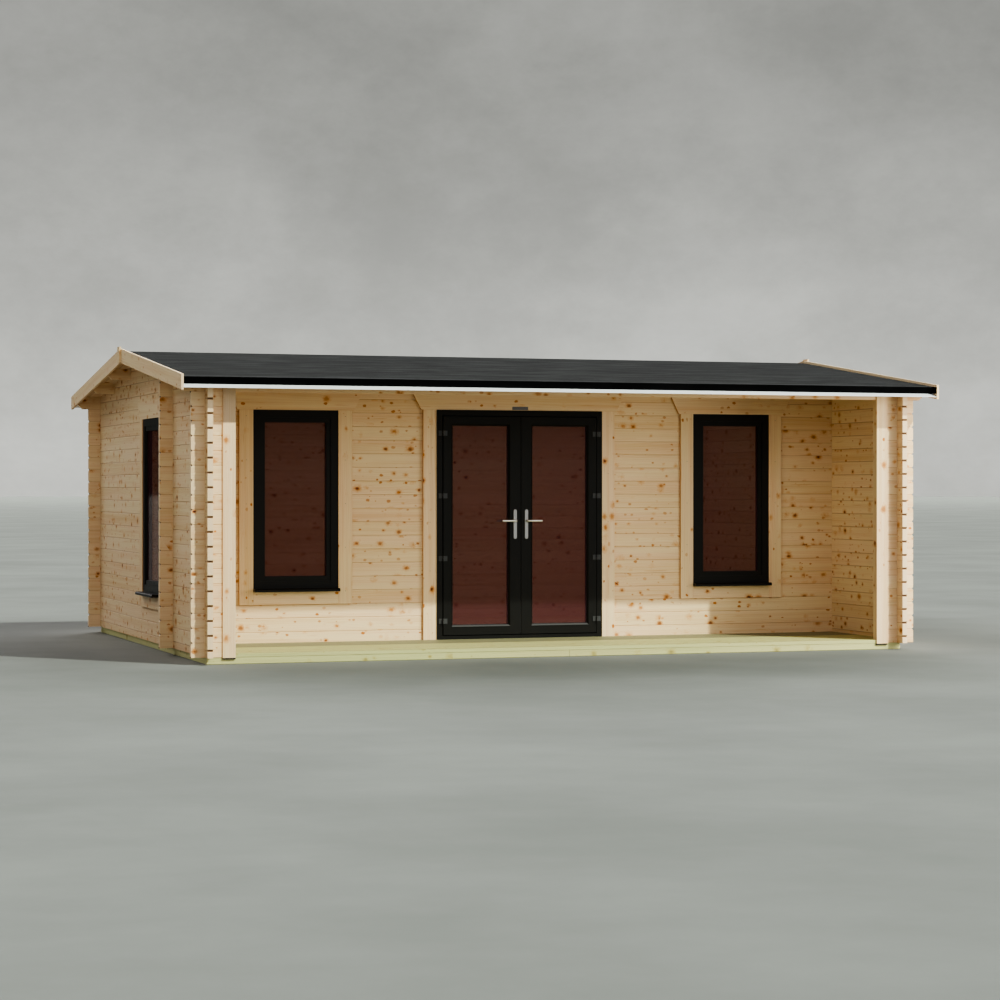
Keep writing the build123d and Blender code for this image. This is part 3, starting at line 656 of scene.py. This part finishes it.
class CabinBoards(PropertyGroup):
    """Sizes of the casing boards, and the widths that the roof's and the floor's joint lines follow."""

    casing_width: length_property("Casing width", "Width of the upright casings", 0.120)
    casing_thickness: length_property("Casing thickness", "Thickness of the casings", 0.020)
    header_past: length_property("Header past casing", "How far a header passes the uprights", 0.016)
    header_splay: length_property("Header splay", "How far a header's ends lean out", 0.073)
    roof_board: length_property("Roof board", "Cover width of one roof board", 0.108)
    floor_board: length_property("Floor board", "Cover width of one floor board", 0.113)


class CabinTrim(PropertyGroup):
    """Joinery, roof covering and metal."""

    felt: colour_property("Roof felt", "Colour of the roof covering", (0.035, 0.035, 0.0355))
    drip: colour_property("Eave strip", "Colour of the strip along the eaves", (0.90, 0.905, 0.92))
    joinery: colour_property("Frames", "Colour of the door and window frames", (0.0155, 0.0145, 0.0125))
    glass: colour_property("Glass", "Tint of the panes", (0.122, 0.044, 0.054))
    hinge: colour_property("Hinges", "Colour of the hinges", (0.055, 0.055, 0.056))
    metal: colour_property("Handles", "Colour of the handles", (0.48, 0.475, 0.475))
    lever: colour_property("Levers", "Colour of the levers", (0.90, 0.875, 0.82))
    weather_bar_and_highlight: colour_property("Weather bars and highlight", "Colour of the bars under the door panes", (0.078, 0.077, 0.077))
    # painted highlight: the weather bars' grey stands partly for light caught on the lower bead of each pane
    plate: colour_property("Plate", "Colour of the bare plate over the door", (0.20, 0.20, 0.21))
    plate_width: length_property("Plate width", "Width of the plate over the door", 0.142)
    plate_height: length_property("Plate height", "Height of the plate over the door", 0.027)
    handle_width: length_property("Handle plate width", "Width of the plates behind the levers", 0.031)
    lever_length: length_property("Lever length", "From the pivot to the lever's tip", 0.132)
    screw_radius: length_property("Screw head", "Radius of the screw heads", 0.0045)


class CabinStage(PropertyGroup):
    """Floor, backdrop and lights."""

    floor: colour_property("Floor", "Colour of the floor", (0.203, 0.211, 0.196))
    backdrop: colour_property("Backdrop", "Colour behind the cabin", (0.42, 0.425, 0.40))
    front_fill: strength_property("Front fill", "Soft light from the sky in front", 0.98)
    left_fill: strength_property("Left fill", "Soft light from the left, low over the floor", 0.1)
    back_fill: strength_property("Back fill", "Soft light from high behind the cabin", 4.0)
    key: strength_property("Key light", "Strength of the key light", 3.08)
    near_lamp: strength_property("Near lamp", "Power of the soft lamp by the right corner", 48.0)
    far_lamp: strength_property("Far lamp", "Power of the soft lamp further to the right", 131.0)
    bay_lamp: strength_property("Bay lamp", "Power of the soft lamp towards the bay's side wall", 0.6)
    room_lamp: strength_property("Room lamp", "Power of the soft lamp under the room's ceiling", 17.0)
    key_rise: FloatProperty(name="Key height", description="Angle of the key light above the floor",
                            default=math.radians(43.44), subtype="ANGLE")
    key_turn: FloatProperty(name="Key direction", description="Turn of the key light to the right",
                            default=math.radians(38.7), subtype="ANGLE")


# ---- Pieces -------------------------------------------------------------------------------
class CABIN_OT_log_walls(Operator):
    """Finishes the log walls, course by course"""

    bl_idname = "cabin.log_walls"
    bl_label = "Log walls"

    def execute(self, context):
        wood = context.scene.cabin_wood
        for seed, name in enumerate(("rear_wall", "front_wall_left", "front_wall_right",
                                     "front_wall_over_door", "left_stub_wall", "right_stub_wall")):
            courses = ("Z", CROSS_SEAM, LOG, 0.0028, 0.55)
            dress([name], wood_material("Spruce " + name, wood, "X", courses=courses, seed=seed * 100.0,
                                        notch=0.008))
        for seed, name in enumerate(("left_side_wall", "right_side_wall")):
            courses = ("Z", SIDE_SEAM, LOG, 0.004, 0.7)
            dress([name], wood_material("Spruce " + name, wood, "Y", courses=courses,
                                        seed=seed * 100.0 + 1000.0, notch=0.008, knots=0.64))
        return {"FINISHED"}


class CABIN_OT_timbers(Operator):
    """Finishes the posts, beams, purlins, barge boards and base timbers"""

    bl_idname = "cabin.timbers"
    bl_label = "Timbers"

    def execute(self, context):
        wood = context.scene.cabin_wood
        for seed, name in enumerate(("left_end_post", "right_end_post")):
            # painted shade: the left post is darkened above 1.86 m, where the eave's shadow falls; the right
            # post gets none
            painted_top_shade = ("Z", 1.86, 1.88, 0.28 * (1 - seed))
            dress([name], wood_material("Spruce " + name, wood, "Z", seed=seed + 2.0, knots=0.25,
                                        painted_shade=painted_top_shade))
        spacing = ("Y", 0.25, 1.2, 0.001, 0.0)
        deck_boards = ("Y", DECK_LOW.y - DECK_GAP / 2, DECK_PITCH, 0.001, 0.0)
        # painted shade: the deck's last half metre before the front wall is blended towards dark grey
        painted_back_shade = ("Y", INNER_FRONT - 0.53, INNER_FRONT - 0.50, 0.55)
        treated = dict(treated=True, knots=0.3)
        for title, names, grain, settings in (
                ("Spruce joint covers", ["gable_joint_covers"], "Z", dict(seed=12.0, knots=0.25)),
                ("Spruce timbers", ["purlins", "front_beam", "rear_beam", "eave_battens"], "X",
                 dict(seed=40.0, courses=spacing)),
                ("Spruce front barge boards", ["front_barge_boards"], "Y",
                 dict(seed=5.0, knots=0.25, tilt=-PITCH)),
                ("Spruce rear barge boards", ["rear_barge_boards"], "Y",
                 dict(seed=8.0, knots=0.25, tilt=PITCH)),
                ("Treated bearers", ["cross_bearers"], "X", dict(seed=3.0, **treated)),
                ("Treated joists", ["floor_joists"], "Y", dict(seed=4.0, **treated)),
                ("Treated deck boards", ["veranda_deck"], "X",
                 dict(seed=70.0, courses=deck_boards, painted_shade=painted_back_shade, **treated))):
            dress(names, wood_material(title, wood, grain, **settings))
        # painted shade: a thin dark pad under each post stands for the shadow beneath the post
        pads = fine_material("Post shadow pads", (60, 60, 60), (0.03, 0.026, 0.02), (0.06, 0.05, 0.04),
                             rough=(0.6, 0.2))
        parts = []
        for name in ("left_end_post", "right_end_post"):
            low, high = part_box(name)
            parts.append(board((low.x, low.y + 0.001, low.z - 0.010), (1, 0, 0), (0, 1, 0), high.x - low.x,
                               DECK_LOW.y - low.y, 0.010, ease=0.0005))
        new_piece("post_shadow_pads", *joined(parts), slot="black_frame", material=pads)
        return {"FINISHED"}


def casing(centre, right, width, bottom, top, header_top, lower_height, sizes, seed):
    """Boards round an opening: two uprights, a splayed header and, if it has a height, one below.

    centre is on the wall's face, under the middle of the opening; right runs along the wall.  A board's
    corner is at centre + right * u + up * z, and it stands out along right x up.
    """
    centre, right, up = np.asarray(centre, float), np.asarray(right, float), np.array([0.0, 0.0, 1.0])
    half, w, past = width / 2, sizes.casing_width, sizes.header_past
    thickness = sizes.casing_thickness
    parts = []
    for index, u in enumerate((-half - w, half)):
        parts.append(board(centre + u * right + bottom * up + w * right, up, -right, top - bottom, w,
                           thickness, seed=seed * 10 + index))
    parts.append(board(centre + (-half - w - past) * right + top * up, right, up, width + 2 * (w + past),
                       header_top - top, thickness, splay=(sizes.header_splay, sizes.header_splay),
                       seed=seed * 10 + 2))
    if lower_height:
        parts.append(board(centre - half * right + bottom * up, right, up, width, lower_height, thickness,
                           seed=seed * 10 + 3))
    return parts


class CABIN_OT_casings(Operator):
    """Makes the casing boards round the doors and windows"""

    bl_idname = "cabin.casings"
    bl_label = "Casings"

    def execute(self, context):
        sizes = context.scene.cabin_boards
        wood = context.scene.cabin_wood
        front = wood_material("Spruce front casings", wood, from_uv=True, knots=0.32, face="Y")
        sides = wood_material("Spruce side casings", wood, from_uv=True, knots=0.32, face="X")
        header_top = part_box("front_casings")[1].z
        low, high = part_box("door_head")
        parts = casing((0, INNER_FRONT, 0), (1, 0, 0), high.x - low.x, FLOOR, high.z, header_top, 0.0, sizes,
                       1)
        for seed, name in enumerate(("left_front_window", "right_front_window")):
            low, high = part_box(name)
            parts += casing(((low.x + high.x) / 2, INNER_FRONT, 0), (1, 0, 0), high.x - low.x,
                            low.z - LOWER_CASING, high.z, header_top, LOWER_CASING, sizes, seed + 2)
        piece = new_piece("front_casing_boards", *joined(parts), slot="spruce", material=front)
        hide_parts("front_casings")
        parts = []
        for seed, (name, side) in enumerate((("left_side_window", -1), ("right_side_window", 1))):
            low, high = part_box(name)
            parts += casing((side * SIDE_FACE, (low.y + high.y) / 2, 0), (0, side, 0), high.y - low.y,
                            low.z - LOWER_CASING, high.z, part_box("side_casings")[1].z, LOWER_CASING, sizes,
                            seed + 6)
        piece = new_piece("side_casing_boards", *joined(parts), slot="spruce", material=sides)
        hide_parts("side_casings")
        return {"FINISHED"}


class CABIN_OT_roof(Operator):
    """Finishes the roof's boards and covering, and makes the felt's upstands"""

    bl_idname = "cabin.roof"
    bl_label = "Roof"

    def execute(self, context):
        trim, sizes, wood = context.scene.cabin_trim, context.scene.cabin_boards, context.scene.cabin_wood
        courses = ("X", ROOF_LOW.x, sizes.roof_board, 0.003, 0.8)
        for side, name in ((1, "roof_boards_front"), (-1, "roof_boards_rear")):
            dress([name], wood_material("Spruce " + name, wood, "Y", tilt=-side * PITCH, courses=courses,
                                        seed=500.0 + side))
        material, n, shader = new_material("Roof felt")
        place = n.coordinates()
        streaks = n.noise(place, (2.2, 10.0, 10.0), 5.0, 0.66)
        patches = n.noise(place, (0.5, 1.2, 1.2), 2.0)
        grit = n.noise(place, (420, 420, 420), 1.0)
        value = n.plus(n.scaled(n.ramp(streaks, 0.38, 0.68), 0.6, 0.68), n.times(patches, 0.3))
        value = n.plus(value, n.times(grit, 0.15))
        # painted highlight: the felt's upward faces within the last few centimetres of both eaves are made
        # lighter
        painted_lip_highlight = n.ramp(n.math("ABSOLUTE", n.split(place)[1]), EAVE_EDGE - 0.10, EAVE_EDGE - 0.06)
        level = n.split(n.coordinates("Normal"))[2]
        painted_lip_highlight = n.times(painted_lip_highlight, n.ramp(level, 0.6, 0.9))
        value = n.scaled(painted_lip_highlight, 0.55, value)
        value = n.times(value, n.scaled(n.ramp(level, 0.3, 0.7), 0.8, 0.2))
        shade = n.grey(value)
        n.feed(shader.inputs["Base Color"], n.blend(1.0, rgb(trim.felt), shade, "MULTIPLY"))
        shader.inputs["Roughness"].default_value = 0.95
        shader.inputs["Specular IOR Level"].default_value = 0.06
        bump(n, shader, n.plus(grit, n.times(streaks, 2.0)), 0.0008)
        dress(["roof_felt"], material)
        parts = []
        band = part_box("eave_battens")[0].z
        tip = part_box("front_barge_boards")[0].y
        top = ROOF_HIGH.z + math.tan(PITCH) * tip + 0.008
        width = -tip - EAVE_EDGE + 0.019
        for start in (tip + 0.001, EAVE_EDGE - 0.020):
            parts.append(board((-ROOF_HIGH.x, start, band), (0, 1, 0), (0, 0, 1), width, top - band, 0.002,
                               0.0005))
            parts.append(board((ROOF_HIGH.x, start, band), (0, 0, 1), (0, 1, 0), top - band, width, 0.002,
                               0.0005))
        new_piece("felt_upstands", *joined(parts), slot="roof_felt", material=material)
        material, n, shader = new_material("White eave strip")
        place = n.coordinates()
        stain = n.noise(place, (2.0, 30, 30), 3.0)
        n.feed(shader.inputs["Base Color"], n.blend(n.times(n.ramp(stain, 0.5, 0.8), 0.12),
                                                    rgb(trim.drip), (0.6, 0.58, 0.54, 1)))
        n.feed(shader.inputs["Roughness"], n.scaled(stain, 0.2, 0.25))
        dress(["eave_drips"], material)
        return {"FINISHED"}


class CABIN_OT_floor(Operator):
    """Finishes the floor boards of the room"""

    bl_idname = "cabin.floor"
    bl_label = "Floor"

    def execute(self, context):
        sizes = context.scene.cabin_boards
        courses = ("Y", INNER_BACK, sizes.floor_board, 0.0012, 0.85)
        dress(["interior_floor"], wood_material("Spruce floor boards", context.scene.cabin_wood, "X",
                                                courses=courses, seed=900.0))
        return {"FINISHED"}


class CABIN_OT_joinery(Operator):
    """Finishes the door and window frames, the panes and the hinges"""

    bl_idname = "cabin.joinery"
    bl_label = "Joinery"

    def execute(self, context):
        trim = context.scene.cabin_trim
        material, n, shader = new_material("Black joinery")
        place = n.coordinates()
        fine = n.noise(place, (90, 90, 30), 3.0, 0.6)
        dust = n.noise(place, (6, 6, 3), 3.0)
        n.feed(shader.inputs["Base Color"], n.blend(n.times(n.ramp(dust, 0.45, 0.8), 0.3),
                                                    rgb(trim.joinery), (0.02, 0.019, 0.017, 1)))
        n.feed(shader.inputs["Roughness"], n.scaled(fine, 0.25, 0.3))
        shader.inputs["Specular IOR Level"].default_value = 0.3
        bump(n, shader, fine, 0.0002)
        dress(["door_head", "door_left_jamb", "door_right_jamb", "door_threshold", "left_leaf_frame",
               "right_leaf_frame", "left_front_window", "right_front_window", "left_side_window",
               "right_side_window"], material)

        glass = fine_material("Tinted glass", (5, 5, 2), trim.glass, (0.08, 0.03, 0.034), 0.2, (0.02, 0.06),
                              detail=3.0)
        shader = next(node for node in glass.node_tree.nodes if node.type == "BSDF_PRINCIPLED")
        shader.inputs["Alpha"].default_value = 0.5
        shader.inputs["Specular IOR Level"].default_value = 0.1
        dress(["left_leaf_glass", "right_leaf_glass", "window_glass"], glass)
        dress(["frame_hinges", "left_leaf_hinges", "right_leaf_hinges"],
              fine_material("Dark hinge metal", (200, 200, 60), trim.hinge, (0.08, 0.08, 0.08),
                            rough=(0.25, 0.3)))
        # painted highlight: the bars' grey stands partly for light caught on the lower bead of each door
        # pane
        bar = fine_material("Grey weather bar with painted highlight", (15, 200, 200), trim.weather_bar_and_highlight, (0.06, 0.06, 0.06), 0.5,
                            (0.35, 0.2))
        slope = math.sqrt(0.5)
        for name in ("left", "right"):
            low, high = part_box(name + "_leaf_glass")
            start = (low.x - 0.003, LEAF_OUTER - 0.003, low.z - 0.0065)
            shape = board(start, (1, 0, 0), (0, slope, slope), high.x - low.x + 0.006, 0.020, 0.003,
                          ease=0.0006, splay=(-0.012, -0.012))
            new_piece(name + "_weather_bar_highlight", *shape, body=name + "_door", slot="satin_metal", material=bar)

        rubber = fine_material("Black glazing seal", (120, 120, 120), (0.012, 0.012, 0.011),
                               (0.022, 0.021, 0.02), rough=(0.5, 0.2))
        for name in ("left", "right"):
            low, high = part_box(name + "_leaf_glass")
            seals = self.seals((low.x, high.x), (low.z, high.z), 0, (low.y, high.y))
            new_piece(name + "_leaf_seals", *joined(seals), body=name + "_door", slot="black_frame",
                      material=rubber, smooth=True)
        low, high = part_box("left_leaf_frame")
        shape = board((high.x - 0.001, LEAF_OUTER + 0.004, low.z + 0.002), (0, 0, 1), (1, 0, 0),
                      high.z - low.z - 0.004, 0.009, 0.008, ease=0.001)
        new_piece("left_meeting_seal", *shape, body="left_door", slot="black_frame", material=rubber)
        seals = []
        inset = WINDOW_BORDER - PANE_COVER
        pane_low, pane_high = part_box("window_glass")
        for name in ("left_front_window", "right_front_window", "left_side_window", "right_side_window"):
            low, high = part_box(name)
            axis = 0 if "front" in name else 1
            across = (low[axis] + inset, high[axis] - inset)
            face, inwards = pane_high[1 - axis], -1
            if axis == 0 or "left" in name:
                face, inwards = pane_low[1 - axis], 1
            through = (face, face + inwards * PANE_THICKNESS)
            seals += self.seals(across, (low.z + SILL + inset, high.z - inset), axis, through)
        new_piece("window_seals", *joined(seals), slot="black_frame", material=rubber, smooth=True)
        return {"FINISHED"}

    def seals(self, across, up, axis, through):
        """Beads round both faces of a pane, where its frame covers the edges."""
        (a, b), (c, d) = across, up
        a, b, c, d = a + PANE_COVER, b - PANE_COVER, c + PANE_COVER, d - PANE_COVER
        parts = []
        for depth, other in (through, through[::-1]):
            out = np.zeros(3)
            out[1 - axis] = np.sign(depth - other)
            corners = np.zeros((4, 3))
            corners[:, axis] = (a, b, b, a)
            corners[:, 2] = (c, c, d, d)
            corners[:, 1 - axis] = depth
            parts.append(frame_of_bead(corners, out, BEAD))
        return parts


class CABIN_OT_handles(Operator):
    """Makes the handle plates and the levers on both faces of the doors"""

    bl_idname = "cabin.handles"
    bl_label = "Handles"

    def metal(self, name, colour, metallic, roughness):
        """Metal brushed along Z."""
        darker = (colour[0] * 0.75, colour[1] * 0.75, colour[2] * 0.76)
        return fine_material(name, (900, 900, 25), colour, darker, 0.4, (roughness, 0.2), metallic=metallic,
                             relief=0.0001)

    def execute(self, context):
        trim = context.scene.cabin_trim
        satin = self.metal("Satin handle metal", trim.metal, 0.6, 0.25)
        bright = self.metal("Bright lever metal", trim.lever, 1.0, 0.2)
        for side, name in ((-1, "left"), (1, "right")):
            low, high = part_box(name + "_handle_plates")
            plates, levers = [], []
            for outward, face in ((-1, LEAF_OUTER), (1, LEAF_INNER)):
                centre = (side * HANDLE_OFFSET, face, (low.z + high.z) / 2)
                plates.append(round_ended_plate(centre, (0, 0, 1), (outward, 0, 0), high.z - low.z,
                                                trim.handle_width, 0.008, 0.003))
                for end in (-1, 1):
                    place = (centre[0], face + outward * 0.0078, centre[2] + end * 0.108)
                    plates.append(screw_heads([place], (0, outward, 0), 0.004, 0.0015))
                levers.append(handle_lever(side, face, outward, trim.lever_length))
            piece = new_piece(name + "_handle_plate_pair", *joined(plates), body=name + "_door",
                              slot="satin_metal", material=satin)
            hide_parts(name + "_handle_plates")
            piece = new_piece(name + "_lever_pair", *joined(levers), body=name + "_lever",
                              slot="satin_metal", material=bright, smooth=True)
            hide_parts(name + "_lever")
        return {"FINISHED"}


class CABIN_OT_screws(Operator):
    """Makes the screw heads in the deck, the casings and the barge boards"""

    bl_idname = "cabin.screws"
    bl_label = "Screws"

    def execute(self, context):
        trim, sizes = context.scene.cabin_trim, context.scene.cabin_boards
        material = fine_material("Dull screw metal", (300, 300, 300), (0.22, 0.20, 0.16), (0.34, 0.31, 0.25),
                                 rough=(0.4, 0.2), metallic=0.5)
        radius = trim.screw_radius

        joists = np.linspace(DECK_LOW.x + 0.03, DECK_HIGH.x - 0.03, JOIST_COUNT)
        middles = DECK_LOW.y + DECK_PITCH * (np.arange(DECK_BOARDS) + 0.5) - DECK_GAP / 2
        x, y = np.meshgrid(joists, np.concatenate([middles - DECK_SCREW, middles + DECK_SCREW]))
        deck = np.stack([x.ravel(), y.ravel(), np.full(x.size, DECK_HIGH.z - 0.0004)], 1)
        parts = [screw_heads(deck, (0, 0, 1), radius, 0.001)]

        low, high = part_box("front_barge_boards")
        reach = np.array([0.06, PURLIN_SPACING, 2 * PURLIN_SPACING, -low.y - 0.08])
        for side in (-1, 1):
            for end in (-1, 1):
                for drop in (0.045, 0.095):
                    heights = high.z - drop - math.tan(PITCH) * reach
                    places = np.stack([np.full(4, side * (high.x - SUNK)), end * reach, heights], 1)
                    parts.append(screw_heads(places, (side, 0, 0), radius, 0.001))

        wall = INNER_FRONT - sizes.casing_thickness + SUNK
        for name in ("left_front_window", "right_front_window"):
            low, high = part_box(name)
            parts += self.beside(0, low, high, np.linspace(low.z, high.z - 0.05, 5), wall, -1, context)
        low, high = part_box("door_left_jamb")[0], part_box("door_right_jamb")[1]
        parts += self.beside(0, low, high, np.linspace(0.25, 1.9, 5), wall, -1, context)
        for name, side in (("left_side_window", -1), ("right_side_window", 1)):
            low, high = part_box(name)
            wall = side * (SIDE_FACE + sizes.casing_thickness - SUNK)
            parts += self.beside(1, low, high, np.linspace(low.z, high.z - 0.05, 5), wall, side, context)
        new_piece("screw_heads", *joined(parts), slot="satin_metal", material=material, smooth=True)
        return {"FINISHED"}

    def beside(self, axis, low, high, levels, wall, side, context):
        """Heads at these levels up the middle of the casings on both sides of an opening."""
        half = context.scene.cabin_boards.casing_width / 2
        out = np.zeros(3)
        out[1 - axis] = side
        parts = []
        for place in (low[axis] - half, high[axis] + half):
            places = np.zeros((len(levels), 3))
            places[:, axis], places[:, 1 - axis], places[:, 2] = place, wall, levels
            parts.append(screw_heads(places, out, context.scene.cabin_trim.screw_radius * 0.8, 0.0008))
        return parts


class CABIN_OT_plate(Operator):
    """Makes the bare plate over the door"""

    bl_idname = "cabin.plate"
    bl_label = "Plate over the door"

    def execute(self, context):
        trim, sizes = context.scene.cabin_trim, context.scene.cabin_boards
        material = fine_material("Grey plate", (30, 300, 900), trim.plate, (0.12, 0.12, 0.12), 0.4,
                                 (0.45, 0.0))
        height, width = trim.plate_height, trim.plate_width
        face = INNER_FRONT - sizes.casing_thickness
        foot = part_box("door_head")[1].z + 0.006
        shape = board((-width / 2, face, foot), (1, 0, 0), (0, 0, 1), width, height, 0.003, ease=0.001)
        new_piece("plate_over_door", *shape, slot="satin_metal", material=material)
        return {"FINISHED"}


class CABIN_OT_stage(Operator):
    """Makes the floor, the backdrop, the lights and the camera"""

    bl_idname = "cabin.stage"
    bl_label = "Stage"

    def lamp(self, name, kind, energy, place, back):
        """Adds a light that shines against the direction back."""
        light = bpy.data.lights.new(name, kind)
        light.energy = energy
        lamp = bpy.data.objects.new(name, light)
        lamp.location = place
        lamp.rotation_mode = "QUATERNION"
        lamp.rotation_quaternion = back.to_track_quat("Z", "Y")
        bpy.context.scene.collection.objects.link(lamp)
        return lamp

    def execute(self, context):
        stage = context.scene.cabin_stage
        rings = np.concatenate([[0.0], np.geomspace(2.0, 400.0, 24)])
        t = np.linspace(0, 2 * np.pi, 96, endpoint=False)
        centre = (CAD_BOUNDS[0] + CAD_BOUNDS[1]) / 2
        points = np.stack([centre.x + rings[:, None] * np.cos(t), centre.y + rings[:, None] * np.sin(t),
                           np.zeros((len(rings), len(t)))], -1).reshape(-1, 3)
        quads = ring_quads(len(rings), len(t))[:, FLIPPED]
        mesh = bpy.data.meshes.new("floor")
        mesh.from_pydata(points, [], quads.tolist())
        floor = bpy.data.objects.new("floor", mesh)
        context.scene.collection.objects.link(floor)
        material, n, shader = new_material("Studio floor")
        place = n.coordinates()
        cloud = n.noise(place, (0.35, 0.35, 0.35), 7.0, 0.62)
        grit = n.noise(place, (3.0, 3.0, 3.0), 3.0)
        value = n.plus(n.scaled(n.ramp(cloud, 0.25, 0.75), 0.28, 0.82), n.times(grit, 0.08))
        # painted light: from 40 m out the floor grows up to 1.6 times brighter towards the horizon
        across, depth = n.split(n.vector("MULTIPLY", place, (0.01, 0.01, 0.0)))[:2]
        far = n.math("POWER", n.plus(n.math("POWER", across, 2.0), n.math("POWER", depth, 2.0)), 0.5)
        value = n.times(value, n.scaled(n.ramp(far, 0.4, 3.0), 0.6, 1.0))
        # painted shade: within 1.2 m of the cabin's footprint, fading out by 3.4 m, the floor is darker,
        # most on the right
        outside = n.vector("SUBTRACT", n.vector("ABSOLUTE", place), (SIDE_FACE, -DECK_LOW.y, 0.0))
        beside = n.add("ShaderNodeVectorMath", {0: n.vector("MAXIMUM", outside)},
                       operation="LENGTH").outputs["Value"]
        right = n.scaled(n.ramp(n.split(place)[0], SIDE_FACE - 0.6, SIDE_FACE + 1.3), -0.26, -0.10)
        value = n.times(value, n.scaled(n.ramp(beside, 3.4, 1.2), right, 1.0))
        # painted light: within 5 cm of the footprint, fading out by 0.9 m, the floor is up to a fifth
        # brighter
        value = n.times(value, n.scaled(n.ramp(beside, 0.9, 0.05), 0.2, 1.0))
        n.feed(shader.inputs["Base Color"], n.blend(1.0, rgb(stage.floor), n.grey(value), "MULTIPLY"))
        shader.inputs["Roughness"].default_value = 0.9
        mesh.materials.append(material)

        world = bpy.data.worlds.new("Studio")
        context.scene.world = world
        world.use_nodes = True
        n = Nodes(world.node_tree)
        background = next(x for x in world.node_tree.nodes if x.type == "BACKGROUND")
        look = n.coordinates("Generated")
        cloud = n.noise(look, (6.0, 6.0, 9.0), 8.0, 0.68)
        value = n.scaled(n.ramp(cloud, 0.25, 0.75), 0.36, 0.82)
        across, depth, height = n.split(look)[:3]
        # painted light: the backdrop is brighter low down near the horizon and darker higher up
        value = n.times(value, n.scaled(n.ramp(height, 0.17, 0.01), 0.54, 0.74))
        seen = n.blend(1.0, rgb(stage.backdrop), n.grey(value), "MULTIPLY")
        path = n.add("ShaderNodeLightPath").outputs
        front = n.math("MAXIMUM", n.times(depth, -stage.front_fill), 0.0)
        back = n.math("MAXIMUM", n.times(depth, stage.back_fill), 0.0)
        left = n.math("MAXIMUM", n.times(across, -stage.left_fill), 0.0)
        level = n.times(n.plus(front, n.times(back, n.ramp(height, 0.3, 0.4))), n.ramp(height, 0.85, 0.75))
        level = n.scaled(left, n.ramp(height, 0.2, 0.1), level)
        n.feed(background.inputs["Color"], n.blend(path["Is Camera Ray"], n.grey(level), seen))

        towards = Vector((math.sin(stage.key_turn) * math.cos(stage.key_rise),
                          -math.cos(stage.key_turn) * math.cos(stage.key_rise), math.sin(stage.key_rise)))
        key = self.lamp("key", "SUN", stage.key, towards * 20.0, towards)
        key.data.angle = math.radians(1.0)
        key.data.color = (0.915, 1.0, 0.90)
        for name, power, size, place, aim in (
                ("near_lamp", stage.near_lamp, 1.5, (5.0, -5.0, 1.2), (2.8, -2.3, 1.2)),
                ("far_lamp", stage.far_lamp, 2.0, (7.0, -5.5, 2.5), (2.0, -2.3, 1.2)),
                ("bay_lamp", stage.bay_lamp, 0.5, (2.0, -1.4, 1.2), (3.2, -2.0, 1.2)),
                ("room_lamp", stage.room_lamp, 5.2, (0.0, 0.4, 2.15), (0.0, 0.7, 0.0))):
            lamp = self.lamp(name, "AREA", power, Vector(place), Vector(place) - Vector(aim))
            lamp.data.shape = "RECTANGLE"
            lamp.data.size, lamp.data.size_y = size, min(size, 2.4)
            lamp.visible_camera = lamp.visible_glossy = False

        camera_data = bpy.data.cameras.new("camera")
        camera_data.lens = 90.94
        camera_data.sensor_width = 36.0
        camera_data.shift_x = -0.0006
        camera_data.shift_y = -0.0116
        camera = bpy.data.objects.new("camera", camera_data)
        camera.location = (-7.136, -21.503, 1.360)
        camera.rotation_euler = (math.radians(90), 0, math.radians(-18.8625))
        context.scene.collection.objects.link(camera)
        context.scene.camera = camera
        context.scene.view_settings.view_transform = "AgX"
        context.scene.view_settings.look = "AgX - High Contrast"
        return {"FINISHED"}


OPERATORS = (CABIN_OT_log_walls, CABIN_OT_timbers, CABIN_OT_casings, CABIN_OT_roof, CABIN_OT_floor,
             CABIN_OT_joinery, CABIN_OT_handles, CABIN_OT_plate, CABIN_OT_screws, CABIN_OT_stage)
GROUPS = {"cabin_wood": CabinWood, "cabin_boards": CabinBoards, "cabin_trim": CabinTrim,
          "cabin_stage": CabinStage}


class CABIN_PT_pieces(Panel):
    """Lists the cabin's settings and the operators that make its pieces"""

    bl_label = "Log cabin"
    bl_idname = "CABIN_PT_pieces"
    bl_space_type = "VIEW_3D"
    bl_region_type = "UI"
    bl_category = "Cabin"

    def draw(self, context):
        for name, group in GROUPS.items():
            box = self.layout.box()
            settings = getattr(context.scene, name)
            for title in group.__annotations__:
                box.prop(settings, title)
        for operator in OPERATORS:
            self.layout.operator(operator.bl_idname)


def register():
    for cls in (*GROUPS.values(), *OPERATORS, CABIN_PT_pieces):
        bpy.utils.register_class(cls)
    for name, group in GROUPS.items():
        setattr(bpy.types.Scene, name, PointerProperty(type=group))


def unregister():
    for name in GROUPS:
        delattr(bpy.types.Scene, name)
    for cls in reversed((*GROUPS.values(), *OPERATORS, CABIN_PT_pieces)):
        bpy.utils.unregister_class(cls)


def main():
    register()
    for operator in OPERATORS:
        getattr(bpy.ops.cabin, operator.bl_idname.partition(".")[2])()


if __name__ == "__main__":
    main()
